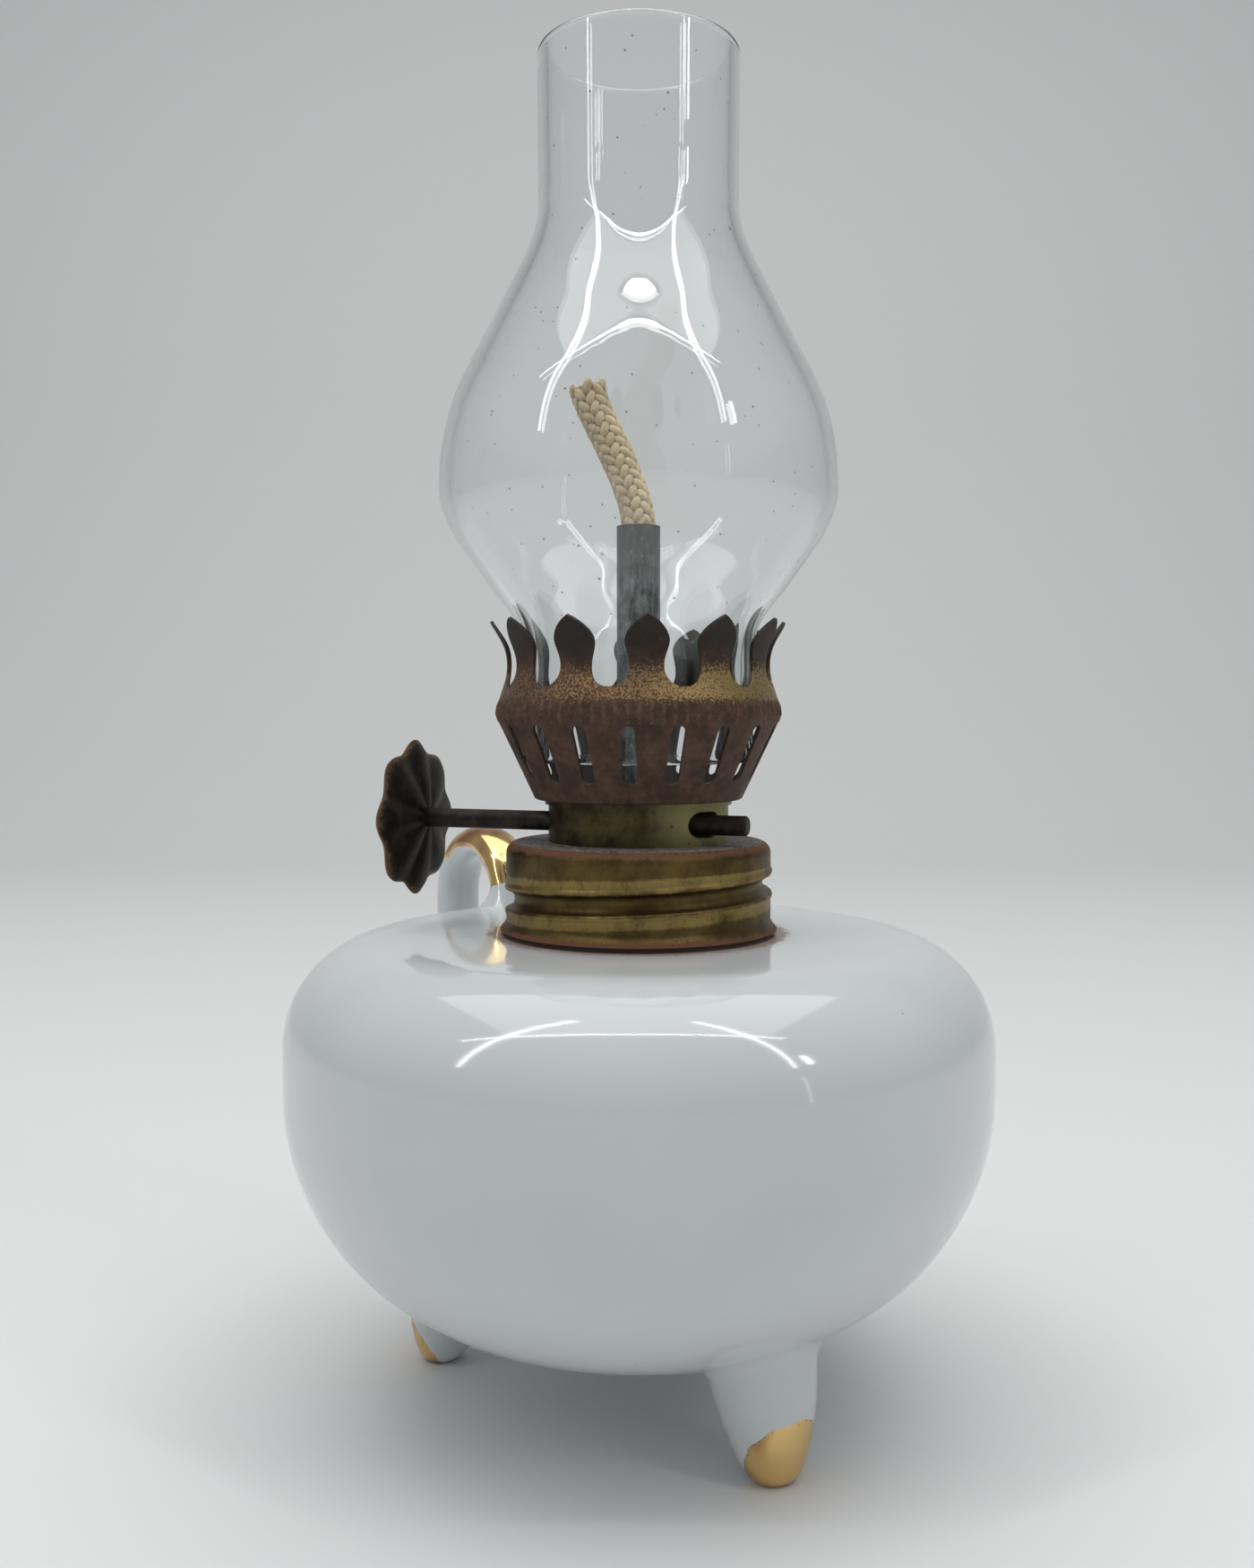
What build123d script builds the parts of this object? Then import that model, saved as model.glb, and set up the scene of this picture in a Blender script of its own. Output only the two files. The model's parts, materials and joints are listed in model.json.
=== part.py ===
"""A miniature oil lamp: a porcelain font on three feet, a screw-on brass burner and a glass chimney.

Millimetres, +Z up. The origin is on the lamp's axis at the level of the surface it stands on.
-Y points to the front foot and +Y to the handle. Each sub-part is one node in parts/.
"""
import os
from math import cos, pi, radians, sin

from build123d import *

os.makedirs("parts", exist_ok=True)

# ---- driving dimensions ------------------------------------------------------------------------

# the porcelain font
BODY_RADIUS = 36.9
BODY_BOTTOM = 9.0
BODY_TOP = 49.2
BODY_WALL = 2.6
BOWL_RADIUS = 24.9
SHOULDER_ROUND = 10.8
NECK_TOP = 57.6
NECK_RADIUS = 13.15
NECK_BORE = 10.4
FOOT_CIRCLE = 23.2
FOOT_ANGLES = {"foot_front": -90, "foot_right": 52, "foot_left": 128}
# a foot's section as (height, how far in from the foot circle, half its width, half its depth)
FOOT_SECTIONS = [
    (0.0, 0.0, 2.0, 1.8),
    (1.5, 0.2, 3.1, 3.0),
    (4.0, 0.6, 4.1, 3.9),
    (8.0, 1.5, 5.1, 5.0),
    (13.6, 2.6, 5.8, 5.7),
]

# the loop handle: how far out its near leg stands, the arch's radius and where the arch springs
HANDLE_NEAR = 27.0
HANDLE_ROUND = 7.6
HANDLE_SPRING = 48.6
HANDLE_END = 36.4
HANDLE_HALF_WIDTH = 2.8
HANDLE_HALF_DEPTH = 1.9

# the screw thread that joins the cap to the neck
THREAD_PITCH = 3.6
THREAD_START = 51.4
THREAD_TURNS = 1.25
THREAD_DEPTH = 0.9

# the burner's sheet-metal pieces
SHEET = 0.4
CAP_TOP = 58.9
CAP_BOTTOM = 49.7
CAP_RADIUS = 13.9
CUP_RADIUS = 9.45
CUP_TOP = 63.4
CUP_STEP = 0.35
AIR_HOLE = 0.55

# the gallery: a cone from the lip to the shoulder, then the prongs' waist and tips
WALL = 0.35
GALLERY_BOTTOM = CUP_TOP - 0.1
GALLERY_LIP = 11.0
SHOULDER_RADIUS = 14.8
SHOULDER_Z = 72.0
THROAT_RADIUS = 13.7
THROAT_Z = 77.4
PRONG_TIP_RADIUS = 15.6
PRONG_TIP_Z = 81.6
PRONG_COUNT = 12
FIRST_GAP_ANGLE = -105.0
VALLEY_Z = 74.9
SLOT_COUNT = 18
FIRST_SLOT_ANGLE = -127.5
SLOT_WIDTH = 1.45
SLOT_HEIGHT = 5.8
SLOT_Z = 68.2

# the wick and the tube that it stands in
TUBE_RADIUS = 2.27
TUBE_BORE = 1.97
TUBE_TOP = 91.8
TUBE_BOTTOM = 46.0
WICK_RADIUS = 1.75
WICK_BOTTOM = 27.0
WICK_LEAN = 147.0

# the raiser shaft that winds the wick up and down
SHAFT_RADIUS = 1.02
SHAFT_Z = 61.0
SHAFT_OFFSET = 3.75
SHAFT_ANGLE = 127.0
SHAFT_END = -13.0
KNOB_PLACE = 23.0
KNOB_RADIUS = 8.15
KNOB_LOBES = 8
WHEEL_RADIUS = 1.9
WHEEL_TEETH = 10
CHEEK_PLACE = 1.75
RUNNING_GAP = 0.06

# the glass chimney
GLASS = 1.1
CHIMNEY_BOTTOM = 67.2
CHIMNEY_TOP = 140.0
# its outline as (radius, height), from the straight foot over the bulb to the straight mouth
BULB_OUTLINE = [
    (12.0, 78.0),
    (12.7, 81.6),
    (16.0, 86.0),
    (19.8, 91.9),
    (20.6, 96.6),
    (19.2, 104.0),
    (15.3, 112.0),
    (11.8, 119.0),
    (10.4, 125.0),
]


def save(part, name):
    """Label a finished piece and write it as its own STEP file."""
    part.label = name
    export_step(part, f"parts/{name}.step")


def radial_plane(angle, height=0.0):
    """A plane through the lamp's axis that faces outwards at an angle: x runs round, y runs up."""
    a = radians(angle)
    return Plane(origin=(0, 0, height), x_dir=(-sin(a), cos(a), 0), z_dir=(cos(a), sin(a), 0))


def shaft_plane(along):
    """A plane square to the raiser shaft, centred on its axis: x points away from the wick, y up."""
    a = radians(SHAFT_ANGLE)
    side = a + pi / 2
    centre = (
        SHAFT_OFFSET * cos(side) + along * cos(a),
        SHAFT_OFFSET * sin(side) + along * sin(a),
        SHAFT_Z,
    )
    return Plane(origin=centre, x_dir=(cos(side), sin(side), 0), z_dir=(cos(a), sin(a), 0))


def thread_run(root, tip, half_width, first_turn, turns):
    """A helical run with a rounded crest, from the radius root to tip, as turns of the thread."""
    start = THREAD_START + first_turn * THREAD_PITCH
    with BuildPart() as run:
        with BuildLine() as path:
            Helix(THREAD_PITCH, turns * THREAD_PITCH, NECK_RADIUS, center=(0, 0, start))
        with BuildSketch(Plane(origin=(0, 0, start), x_dir=(1, 0, 0), z_dir=(0, -1, 0))):
            with BuildLine():
                flank = (root + tip) / 2
                Polyline(
                    (flank, -half_width * 0.8),
                    (root, -half_width),
                    (root, half_width),
                    (flank, half_width * 0.8),
                )
                ThreePointArc((flank, half_width * 0.8), (tip, 0), (flank, -half_width * 0.8))
            make_face()
        sweep(path=path.line, is_frenet=True)
    return Rotation(0, 0, 360 * first_turn) * run.part


# ---- the font: a squat porcelain bowl, and the threaded neck cast with it ------------------------


def bowl_sketch(inset):
    """Half of the bowl's section, all round its wall by an inset from the outside."""
    side = BODY_RADIUS - inset
    low = BODY_BOTTOM + inset
    high = BODY_TOP - inset
    flat = BODY_RADIUS - BOWL_RADIUS
    top_flat = BODY_RADIUS - SHOULDER_ROUND
    with BuildSketch(Plane.XZ) as sketch:
        with BuildLine():
            Line((0, low), (flat, low))
            RadiusArc((flat, low), (side, BODY_BOTTOM + BOWL_RADIUS), -(BOWL_RADIUS - inset))
            Line((side, BODY_BOTTOM + BOWL_RADIUS), (side, BODY_TOP - SHOULDER_ROUND))
            RadiusArc((side, BODY_TOP - SHOULDER_ROUND), (top_flat, high), -(SHOULDER_ROUND - inset))
            Line((top_flat, high), (0, high))
            Line((0, high), (0, low))
        make_face()
    return sketch.sketch


with BuildPart() as font_body:
    revolve(bowl_sketch(0), axis=Axis.Z)
    revolve(bowl_sketch(BODY_WALL), axis=Axis.Z, mode=Mode.SUBTRACT)
    with BuildSketch(Plane.XY.offset(BODY_TOP)):
        Circle(NECK_BORE)
    extrude(amount=-2 * BODY_WALL, mode=Mode.SUBTRACT)
save(font_body.part, "font_body")

with BuildPart() as font_neck:
    with BuildSketch(Plane.XY.offset(BODY_TOP)):
        Circle(NECK_RADIUS)
        Circle(NECK_BORE, mode=Mode.SUBTRACT)
    extrude(amount=NECK_TOP - BODY_TOP)
    chamfer(font_neck.edges().group_by(Axis.Z)[-1], 0.5)
    # the groove that the cap's ridge runs in, open at the top of the neck
    for first_turn in (-0.1, THREAD_TURNS - 0.1):
        groove = thread_run(
            NECK_RADIUS + 0.5, NECK_RADIUS - THREAD_DEPTH, 1.25, first_turn, THREAD_TURNS
        )
        add(groove, mode=Mode.SUBTRACT)
save(font_neck.part, "font_neck")


# ---- the three feet, cast with the bowl: upright outside, slanting inside, a rounded toe ----------

for foot_name, foot_angle in FOOT_ANGLES.items():
    a = radians(foot_angle)
    with BuildPart() as foot:
        for height, inwards, half_wide, half_deep in FOOT_SECTIONS:
            reach = FOOT_CIRCLE - inwards
            spot = Plane(
                origin=(reach * cos(a), reach * sin(a), height),
                x_dir=(cos(a), sin(a), 0),
                z_dir=(0, 0, 1),
            )
            with BuildSketch(spot):
                Ellipse(half_deep, half_wide)
        loft()
        # the bowl's own wall ends the foot at the top
        revolve(bowl_sketch(0), axis=Axis.Z, mode=Mode.SUBTRACT)
    save(foot.part, foot_name)


# ---- the handle: a porcelain strap looped from the shoulder to the side ---------------------------

with BuildPart() as handle:
    with BuildLine(Plane.YZ) as handle_path:
        rise = Line((HANDLE_NEAR, BODY_TOP - 2.0), (HANDLE_NEAR, HANDLE_SPRING))
        arch = ThreePointArc(
            rise @ 1,
            (HANDLE_NEAR + HANDLE_ROUND, HANDLE_SPRING + HANDLE_ROUND),
            (HANDLE_NEAR + 2 * HANDLE_ROUND, HANDLE_SPRING),
        )
        drop = Line(arch @ 1, (HANDLE_NEAR + 2 * HANDLE_ROUND, 45.0))
        TangentArc(drop @ 1, (BODY_RADIUS - 2.0, HANDLE_END), tangent=(0, -1))
    with BuildSketch(Plane(origin=handle_path.line @ 0, z_dir=(0, 0, 1))):
        Ellipse(HANDLE_HALF_WIDTH, HANDLE_HALF_DEPTH)
    sweep(path=handle_path.line)
    revolve(bowl_sketch(0), axis=Axis.Z, mode=Mode.SUBTRACT)
save(handle.part, "handle")


# ---- the seal under the cap, a cork ring that rests on the neck ----------------------------------

with BuildPart() as cap_washer:
    with BuildSketch(Plane.XY.offset(NECK_TOP + 0.05)):
        Circle(NECK_RADIUS - 0.2)
        Circle(NECK_BORE - 0.6, mode=Mode.SUBTRACT)
    extrude(amount=CAP_TOP - SHEET - NECK_TOP - 0.1)
save(cap_washer.part, "cap_washer")


# ---- the screw cap: sheet brass with one rolled thread, a hole for the wick tube and a vent --------

with BuildPart() as screw_cap:
    with BuildSketch(Plane.XZ):
        with BuildLine():
            Polyline(
                (TUBE_RADIUS + 0.02, CAP_TOP),
                (CAP_RADIUS - 1.2, CAP_TOP),
            )
            RadiusArc((CAP_RADIUS - 1.2, CAP_TOP), (CAP_RADIUS, CAP_TOP - 1.2), 1.2)
            Line((CAP_RADIUS, CAP_TOP - 1.2), (CAP_RADIUS, CAP_BOTTOM + 1.0))
            Line((CAP_RADIUS, CAP_BOTTOM + 1.0), (CAP_RADIUS + 0.7, CAP_BOTTOM))
            Line((CAP_RADIUS + 0.7, CAP_BOTTOM), (CAP_RADIUS + 0.7 - SHEET, CAP_BOTTOM))
            Line((CAP_RADIUS + 0.7 - SHEET, CAP_BOTTOM), (CAP_RADIUS - SHEET, CAP_BOTTOM + 1.0))
            Line((CAP_RADIUS - SHEET, CAP_BOTTOM + 1.0), (CAP_RADIUS - SHEET, CAP_TOP - 1.2))
            RadiusArc(
                (CAP_RADIUS - SHEET, CAP_TOP - 1.2),
                (CAP_RADIUS - 1.2, CAP_TOP - SHEET),
                -(1.2 - SHEET),
            )
            Line((CAP_RADIUS - 1.2, CAP_TOP - SHEET), (TUBE_RADIUS + 0.02, CAP_TOP - SHEET))
            Line((TUBE_RADIUS + 0.02, CAP_TOP - SHEET), (TUBE_RADIUS + 0.02, CAP_TOP))
        make_face()
    revolve(axis=Axis.Z)
    ridge_tip = NECK_RADIUS - THREAD_DEPTH + 0.3
    add(thread_run(CAP_RADIUS - 0.15, ridge_tip, 0.95, 0, THREAD_TURNS))
    rolled = thread_run(CAP_RADIUS + 0.5, ridge_tip + SHEET, 0.75, 0, THREAD_TURNS)
    add(rolled, mode=Mode.SUBTRACT)
    with Locations((0, -6.0, CAP_TOP)):
        Hole(0.6, depth=2 * SHEET)
save(screw_cap.part, "screw_cap")


# ---- the burner cup: the drum that houses the raiser, with a hole and a notch for the shaft --------

with BuildPart() as burner_cup:
    with BuildSketch(Plane.XZ):
        with BuildLine():
            Polyline(
                (CUP_RADIUS - 1.6, CAP_TOP),
                (CUP_RADIUS, CAP_TOP),
                (CUP_RADIUS, CUP_TOP - 0.6),
                (CUP_RADIUS + CUP_STEP, CUP_TOP - 0.6),
                (CUP_RADIUS + CUP_STEP, CUP_TOP),
                (CUP_RADIUS - SHEET, CUP_TOP),
                (CUP_RADIUS - SHEET, CAP_TOP + SHEET),
                (CUP_RADIUS - 1.6, CAP_TOP + SHEET),
                close=True,
            )
        make_face()
    revolve(axis=Axis.Z)
    with BuildSketch(shaft_plane(0)):
        Circle(SHAFT_RADIUS + RUNNING_GAP)
    extrude(amount=CUP_RADIUS + 2, mode=Mode.SUBTRACT)
    with BuildSketch(shaft_plane(0)):
        SlotCenterToCenter(1.6, 2.7)
    extrude(amount=-CUP_RADIUS - 2, mode=Mode.SUBTRACT)
save(burner_cup.part, "burner_cup")


# ---- the air plate: a perforated disc on the cup's rim, through which the wick tube passes ----------

with BuildPart() as air_plate:
    with BuildSketch(Plane.XY.offset(CUP_TOP)):
        Circle(CUP_RADIUS + CUP_STEP)
        Circle(TUBE_RADIUS + 0.02, mode=Mode.SUBTRACT)
        for ring_radius, holes in ((4.2, 8), (6.2, 12), (8.0, 16)):
            with PolarLocations(ring_radius, holes):
                Circle(AIR_HOLE, mode=Mode.SUBTRACT)
    extrude(amount=SHEET)
save(air_plate.part, "air_plate")


# ---- the gallery: a pierced cone that carries the chimney, cut into twelve springy prongs -----------

SEAT_RADIUS = CUP_RADIUS + CUP_STEP + 0.02
with BuildPart() as gallery:
    with BuildSketch(Plane.XZ):
        with BuildLine():
            Line((SEAT_RADIUS, GALLERY_BOTTOM), (GALLERY_LIP - 0.3, GALLERY_BOTTOM))
            RadiusArc(
                (GALLERY_LIP - 0.3, GALLERY_BOTTOM), (GALLERY_LIP, GALLERY_BOTTOM + 0.35), -0.4
            )
            Line((GALLERY_LIP, GALLERY_BOTTOM + 0.35), (SHOULDER_RADIUS - 0.1, SHOULDER_Z - 0.5))
            Spline(
                (SHOULDER_RADIUS - 0.1, SHOULDER_Z - 0.5),
                (SHOULDER_RADIUS + 0.1, SHOULDER_Z + 0.5),
                (14.3, 74.5),
                (THROAT_RADIUS, THROAT_Z),
                (14.3, 79.6),
                (PRONG_TIP_RADIUS, PRONG_TIP_Z),
                tangents=[(0.45, 1), (0.75, 1)],
            )
            Line((PRONG_TIP_RADIUS, PRONG_TIP_Z), (PRONG_TIP_RADIUS - WALL, PRONG_TIP_Z + 0.1))
            Spline(
                (PRONG_TIP_RADIUS - WALL, PRONG_TIP_Z + 0.1),
                (14.3 - WALL, 79.7),
                (THROAT_RADIUS - WALL, THROAT_Z),
                (14.3 - WALL, 74.5),
                (SHOULDER_RADIUS + 0.1 - WALL, SHOULDER_Z + 0.5),
                (SHOULDER_RADIUS - 0.1 - WALL, SHOULDER_Z - 0.5),
                tangents=[(-0.75, -1), (-0.45, -1)],
            )
            Line(
                (SHOULDER_RADIUS - 0.1 - WALL, SHOULDER_Z - 0.5),
                (GALLERY_LIP - WALL, GALLERY_BOTTOM + 0.5),
            )
            Line((GALLERY_LIP - WALL, GALLERY_BOTTOM + 0.5), (SEAT_RADIUS, GALLERY_BOTTOM + WALL))
            Line((SEAT_RADIUS, GALLERY_BOTTOM + WALL), (SEAT_RADIUS, GALLERY_BOTTOM))
        make_face()
    revolve(axis=Axis.Z)
    # upright air slots with rounded ends
    for number in range(SLOT_COUNT):
        with BuildSketch(radial_plane(FIRST_SLOT_ANGLE + number * 360 / SLOT_COUNT, SLOT_Z)):
            with Locations(Rotation(0, 0, 90)):
                SlotOverall(SLOT_HEIGHT, SLOT_WIDTH)
        extrude(amount=20, mode=Mode.SUBTRACT)
    # the gaps between prongs: a round valley, a narrow throat and a wide mouth
    for number in range(PRONG_COUNT):
        with BuildSketch(radial_plane(FIRST_GAP_ANGLE + number * 360 / PRONG_COUNT)):
            with BuildLine():
                Line((-4.05, PRONG_TIP_Z + 1.0), (4.05, PRONG_TIP_Z + 1.0))
                ThreePointArc((4.05, PRONG_TIP_Z + 1.0), (2.9, 81.0), (1.72, 79.0))
                Spline(
                    (1.72, 79.0), (1.95, 77.0), (1.6, 75.6), (0, VALLEY_Z), tangents=[(0, -1), (-1, 0)]
                )
                Spline(
                    (0, VALLEY_Z), (-1.6, 75.6), (-1.95, 77.0), (-1.72, 79.0), tangents=[(-1, 0), (0, 1)]
                )
                ThreePointArc((-1.72, 79.0), (-2.9, 81.0), (-4.05, PRONG_TIP_Z + 1.0))
            make_face()
        extrude(amount=20, mode=Mode.SUBTRACT)
save(gallery.part, "gallery")


# ---- the wick tube, with a window where the raiser wheel reaches the wick -------------------------

with BuildPart() as wick_tube:
    with BuildSketch(Plane.XY.offset(TUBE_BOTTOM)):
        Circle(TUBE_RADIUS)
        Circle(TUBE_BORE, mode=Mode.SUBTRACT)
    extrude(amount=TUBE_TOP - TUBE_BOTTOM)
    with BuildSketch(shaft_plane(0)):
        with Locations((-SHAFT_OFFSET + TUBE_RADIUS, 0)):
            Rectangle(2 * TUBE_RADIUS - 1.0, 2 * WHEEL_RADIUS + 0.3)
    extrude(amount=1.0, both=True, mode=Mode.SUBTRACT)
save(wick_tube.part, "wick_tube")


# ---- the wheel bracket: a bent strip whose two cheeks carry the shaft --------------------------------

with BuildPart() as wheel_bracket:
    for side in (-1, 1):
        with BuildSketch(shaft_plane(side * CHEEK_PLACE)):
            with Locations((0.35, (CAP_TOP + SHEET - SHAFT_Z) / 2 + 0.75)):
                Rectangle(3.0, SHAFT_Z - CAP_TOP - SHEET + 1.7)
        extrude(amount=side * SHEET)
    base_plane = shaft_plane(0)
    base = base_plane.origin - Vector(0, 0, SHAFT_Z - CAP_TOP)
    with BuildSketch(Plane(origin=base, x_dir=base_plane.x_dir)):
        with Locations((1.45, 0)):
            Rectangle(0.8, 2 * CHEEK_PLACE + 2 * SHEET)
    extrude(amount=SHEET)
    with BuildSketch(shaft_plane(-CHEEK_PLACE - 1)):
        Circle(SHAFT_RADIUS + RUNNING_GAP)
    extrude(amount=2 * CHEEK_PLACE + 2, mode=Mode.SUBTRACT)
save(wheel_bracket.part, "wheel_bracket")


# ---- the raiser: a wire shaft, its toothed wheel and a collar on each side of the bracket -----------

with BuildPart() as raiser_shaft:
    with BuildSketch(shaft_plane(SHAFT_END)):
        Circle(SHAFT_RADIUS)
    extrude(amount=KNOB_PLACE + 0.5 - SHAFT_END)
    chamfer(raiser_shaft.edges().sort_by(Axis(base_plane.origin, base_plane.z_dir))[0], 0.2)
save(raiser_shaft.part, "raiser_shaft")

with BuildPart() as raiser_wheel:
    with BuildSketch(shaft_plane(-0.7)):
        Circle(WHEEL_RADIUS)
        Circle(SHAFT_RADIUS, mode=Mode.SUBTRACT)
        with PolarLocations(WHEEL_RADIUS, WHEEL_TEETH):
            RegularPolygon(0.42, 3, rotation=180, mode=Mode.SUBTRACT)
    extrude(amount=1.4)
save(raiser_wheel.part, "raiser_wheel")

with BuildPart() as shaft_collars:
    for start in (-CHEEK_PLACE - SHEET - 0.15 - 0.7, CHEEK_PLACE + SHEET + 0.15):
        with BuildSketch(shaft_plane(start)):
            Circle(SHAFT_RADIUS + 0.45)
            Circle(SHAFT_RADIUS, mode=Mode.SUBTRACT)
        extrude(amount=0.7)
save(shaft_collars.part, "shaft_collars")


# ---- the knob: a pressed disc with a lobed, slightly curled rim -------------------------------------

with BuildPart() as knob:
    with BuildSketch(shaft_plane(KNOB_PLACE - 2)):
        with BuildLine():
            rim = []
            for step in range(KNOB_LOBES * 4):
                turn = 2 * pi * step / (KNOB_LOBES * 4)
                reach = KNOB_RADIUS - 0.45 + 0.45 * cos(KNOB_LOBES * turn)
                rim.append((reach * cos(turn), reach * sin(turn)))
            Spline(*rim, periodic=True)
        make_face()
        Circle(SHAFT_RADIUS, mode=Mode.SUBTRACT)
    extrude(amount=4)
    # a shallow dish, hollow towards the lamp
    dish = shaft_plane(KNOB_PLACE)
    with BuildSketch(Plane(origin=dish.origin, x_dir=dish.x_dir, z_dir=(0, 0, 1))):
        with BuildLine():
            Line((0, -SHEET), (0, 0))
            ThreePointArc((0, 0), (5.0, -0.35), (KNOB_RADIUS + 0.2, -1.5))
            Line((KNOB_RADIUS + 0.2, -1.5), (KNOB_RADIUS + 0.2, -1.5 - SHEET))
            ThreePointArc((KNOB_RADIUS + 0.2, -1.5 - SHEET), (5.0, -0.35 - SHEET), (0, -SHEET))
        make_face()
    revolve(axis=Axis(dish.origin, dish.z_dir), mode=Mode.INTERSECT)
save(knob.part, "knob")

with BuildPart() as knob_rivet:
    with BuildSketch(shaft_plane(KNOB_PLACE + 0.5)):
        Circle(1.9)
    extrude(amount=0.8)
    fillet(knob_rivet.edges().sort_by(Axis(dish.origin, dish.z_dir))[-1], 0.6)
save(knob_rivet.part, "knob_rivet")


# ---- the wick: a braided cord, straight below the tube's mouth and leaning where it burns -----------

with BuildPart() as wick:
    with BuildSketch(Plane.XY.offset(WICK_BOTTOM)):
        Circle(WICK_RADIUS)
    extrude(amount=TUBE_TOP - WICK_BOTTOM)
save(wick.part, "wick")

with BuildPart() as wick_top:
    lean = radial_plane(WICK_LEAN - 90, TUBE_TOP)
    with BuildLine(lean) as wick_path:
        Spline((0, 0), (1.0, 4.1), (2.6, 7.9), (4.2, 10.9), (5.4, 14.4), tangents=[(0, 1), (0.15, 1)])
    with BuildSketch(Plane.XY.offset(TUBE_TOP)):
        Circle(WICK_RADIUS)
    sweep(path=wick_path.line)
save(wick_top.part, "wick_top")


# ---- the chimney: a blown glass tube with a bulb over the flame -----------------------------------


def chimney_sketch(inset):
    """Half of the chimney's section, filled to the axis, its wall moved in by an inset."""
    outline = [(radius - inset, height) for radius, height in BULB_OUTLINE]
    base, mouth = outline[0], outline[-1]
    with BuildSketch(Plane.XZ) as sketch:
        with BuildLine():
            Line((0, CHIMNEY_BOTTOM), (base[0], CHIMNEY_BOTTOM))
            Line((base[0], CHIMNEY_BOTTOM), base)
            Spline(*outline)
            Line(mouth, (mouth[0], CHIMNEY_TOP))
            Line((mouth[0], CHIMNEY_TOP), (0, CHIMNEY_TOP))
            Line((0, CHIMNEY_TOP), (0, CHIMNEY_BOTTOM))
        make_face()
    return sketch.sketch


with BuildPart() as chimney:
    revolve(chimney_sketch(0), axis=Axis.Z)
    revolve(chimney_sketch(GLASS), axis=Axis.Z, mode=Mode.SUBTRACT)
    fillet(chimney.edges().group_by(Axis.Z)[-1], 0.35)
    fillet(chimney.edges().group_by(Axis.Z)[0], 0.35)
save(chimney.part, "chimney")
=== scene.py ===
# %% [markdown]
# # A miniature oil lamp
# The lamp is a squat porcelain font on three feet, a brass burner that screws on its neck,
# and a blown glass chimney. The engineering model is loaded first: it fixes every size and
# every moving body, and the pieces made here ride on those bodies.

# %% Load the frame
import json
from math import cos, pi, radians, sin, sqrt

import bmesh
import bpy
import numpy as np
from mathutils import Matrix, Vector


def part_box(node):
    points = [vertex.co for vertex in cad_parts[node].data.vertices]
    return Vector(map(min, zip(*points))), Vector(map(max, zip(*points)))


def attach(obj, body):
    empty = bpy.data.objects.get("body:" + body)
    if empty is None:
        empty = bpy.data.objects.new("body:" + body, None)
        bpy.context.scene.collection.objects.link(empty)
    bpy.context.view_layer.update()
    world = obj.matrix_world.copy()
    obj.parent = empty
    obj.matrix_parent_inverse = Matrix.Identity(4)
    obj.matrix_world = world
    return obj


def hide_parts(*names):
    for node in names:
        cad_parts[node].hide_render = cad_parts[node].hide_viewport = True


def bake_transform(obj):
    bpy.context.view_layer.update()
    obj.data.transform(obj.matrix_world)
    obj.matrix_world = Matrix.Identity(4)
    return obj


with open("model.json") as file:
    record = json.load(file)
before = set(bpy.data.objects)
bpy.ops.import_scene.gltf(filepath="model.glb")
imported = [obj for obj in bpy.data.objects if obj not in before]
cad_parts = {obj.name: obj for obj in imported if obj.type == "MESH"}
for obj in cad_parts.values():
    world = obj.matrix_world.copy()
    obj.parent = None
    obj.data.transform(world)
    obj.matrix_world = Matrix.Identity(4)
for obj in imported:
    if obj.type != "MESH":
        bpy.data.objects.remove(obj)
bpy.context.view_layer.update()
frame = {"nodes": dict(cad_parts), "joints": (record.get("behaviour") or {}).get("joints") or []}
MM = 0.001

# %% [markdown]
# ## Shader sums written as sums
# Wear, rust and dust are all masks worked out from noise. A small class wraps a shader
# socket, so that a mask is written as ordinary arithmetic and adds its own Math nodes.
# Finish is one material: its node method adds any other node in one call.


# %% Sockets that do arithmetic
# The way towards the right of the view, where the cup's brass is painted lighter: painted light.
PAINTED_LIGHT_WAY = (89, -58, 0)


class Mask:
    """A number that varies over a surface."""

    def __init__(self, finish, socket):
        self.finish, self.socket = finish, socket

    def math(self, operation, *values):
        return self.finish.node("ShaderNodeMath", {"operation": operation}, dict(enumerate(values)))

    def __add__(self, other):
        return self.math("ADD", self, other)

    def __sub__(self, other):
        return self.math("SUBTRACT", self, other)

    def __rsub__(self, other):
        return self.math("SUBTRACT", other, self)

    def __mul__(self, other):
        return self.math("MULTIPLY", self, other)

    def __truediv__(self, other):
        return self.math("DIVIDE", self, other)

    __radd__, __rmul__ = __add__, __mul__

    def step(self, low, high):
        """0 below low and 1 above high, with a soft change between them."""
        settings = {"interpolation_type": "SMOOTHSTEP"}
        return self.finish.node("ShaderNodeMapRange", settings, {0: self, 1: low, 2: high})

    def either(self, other):
        return self.math("MAXIMUM", self, other)


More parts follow.
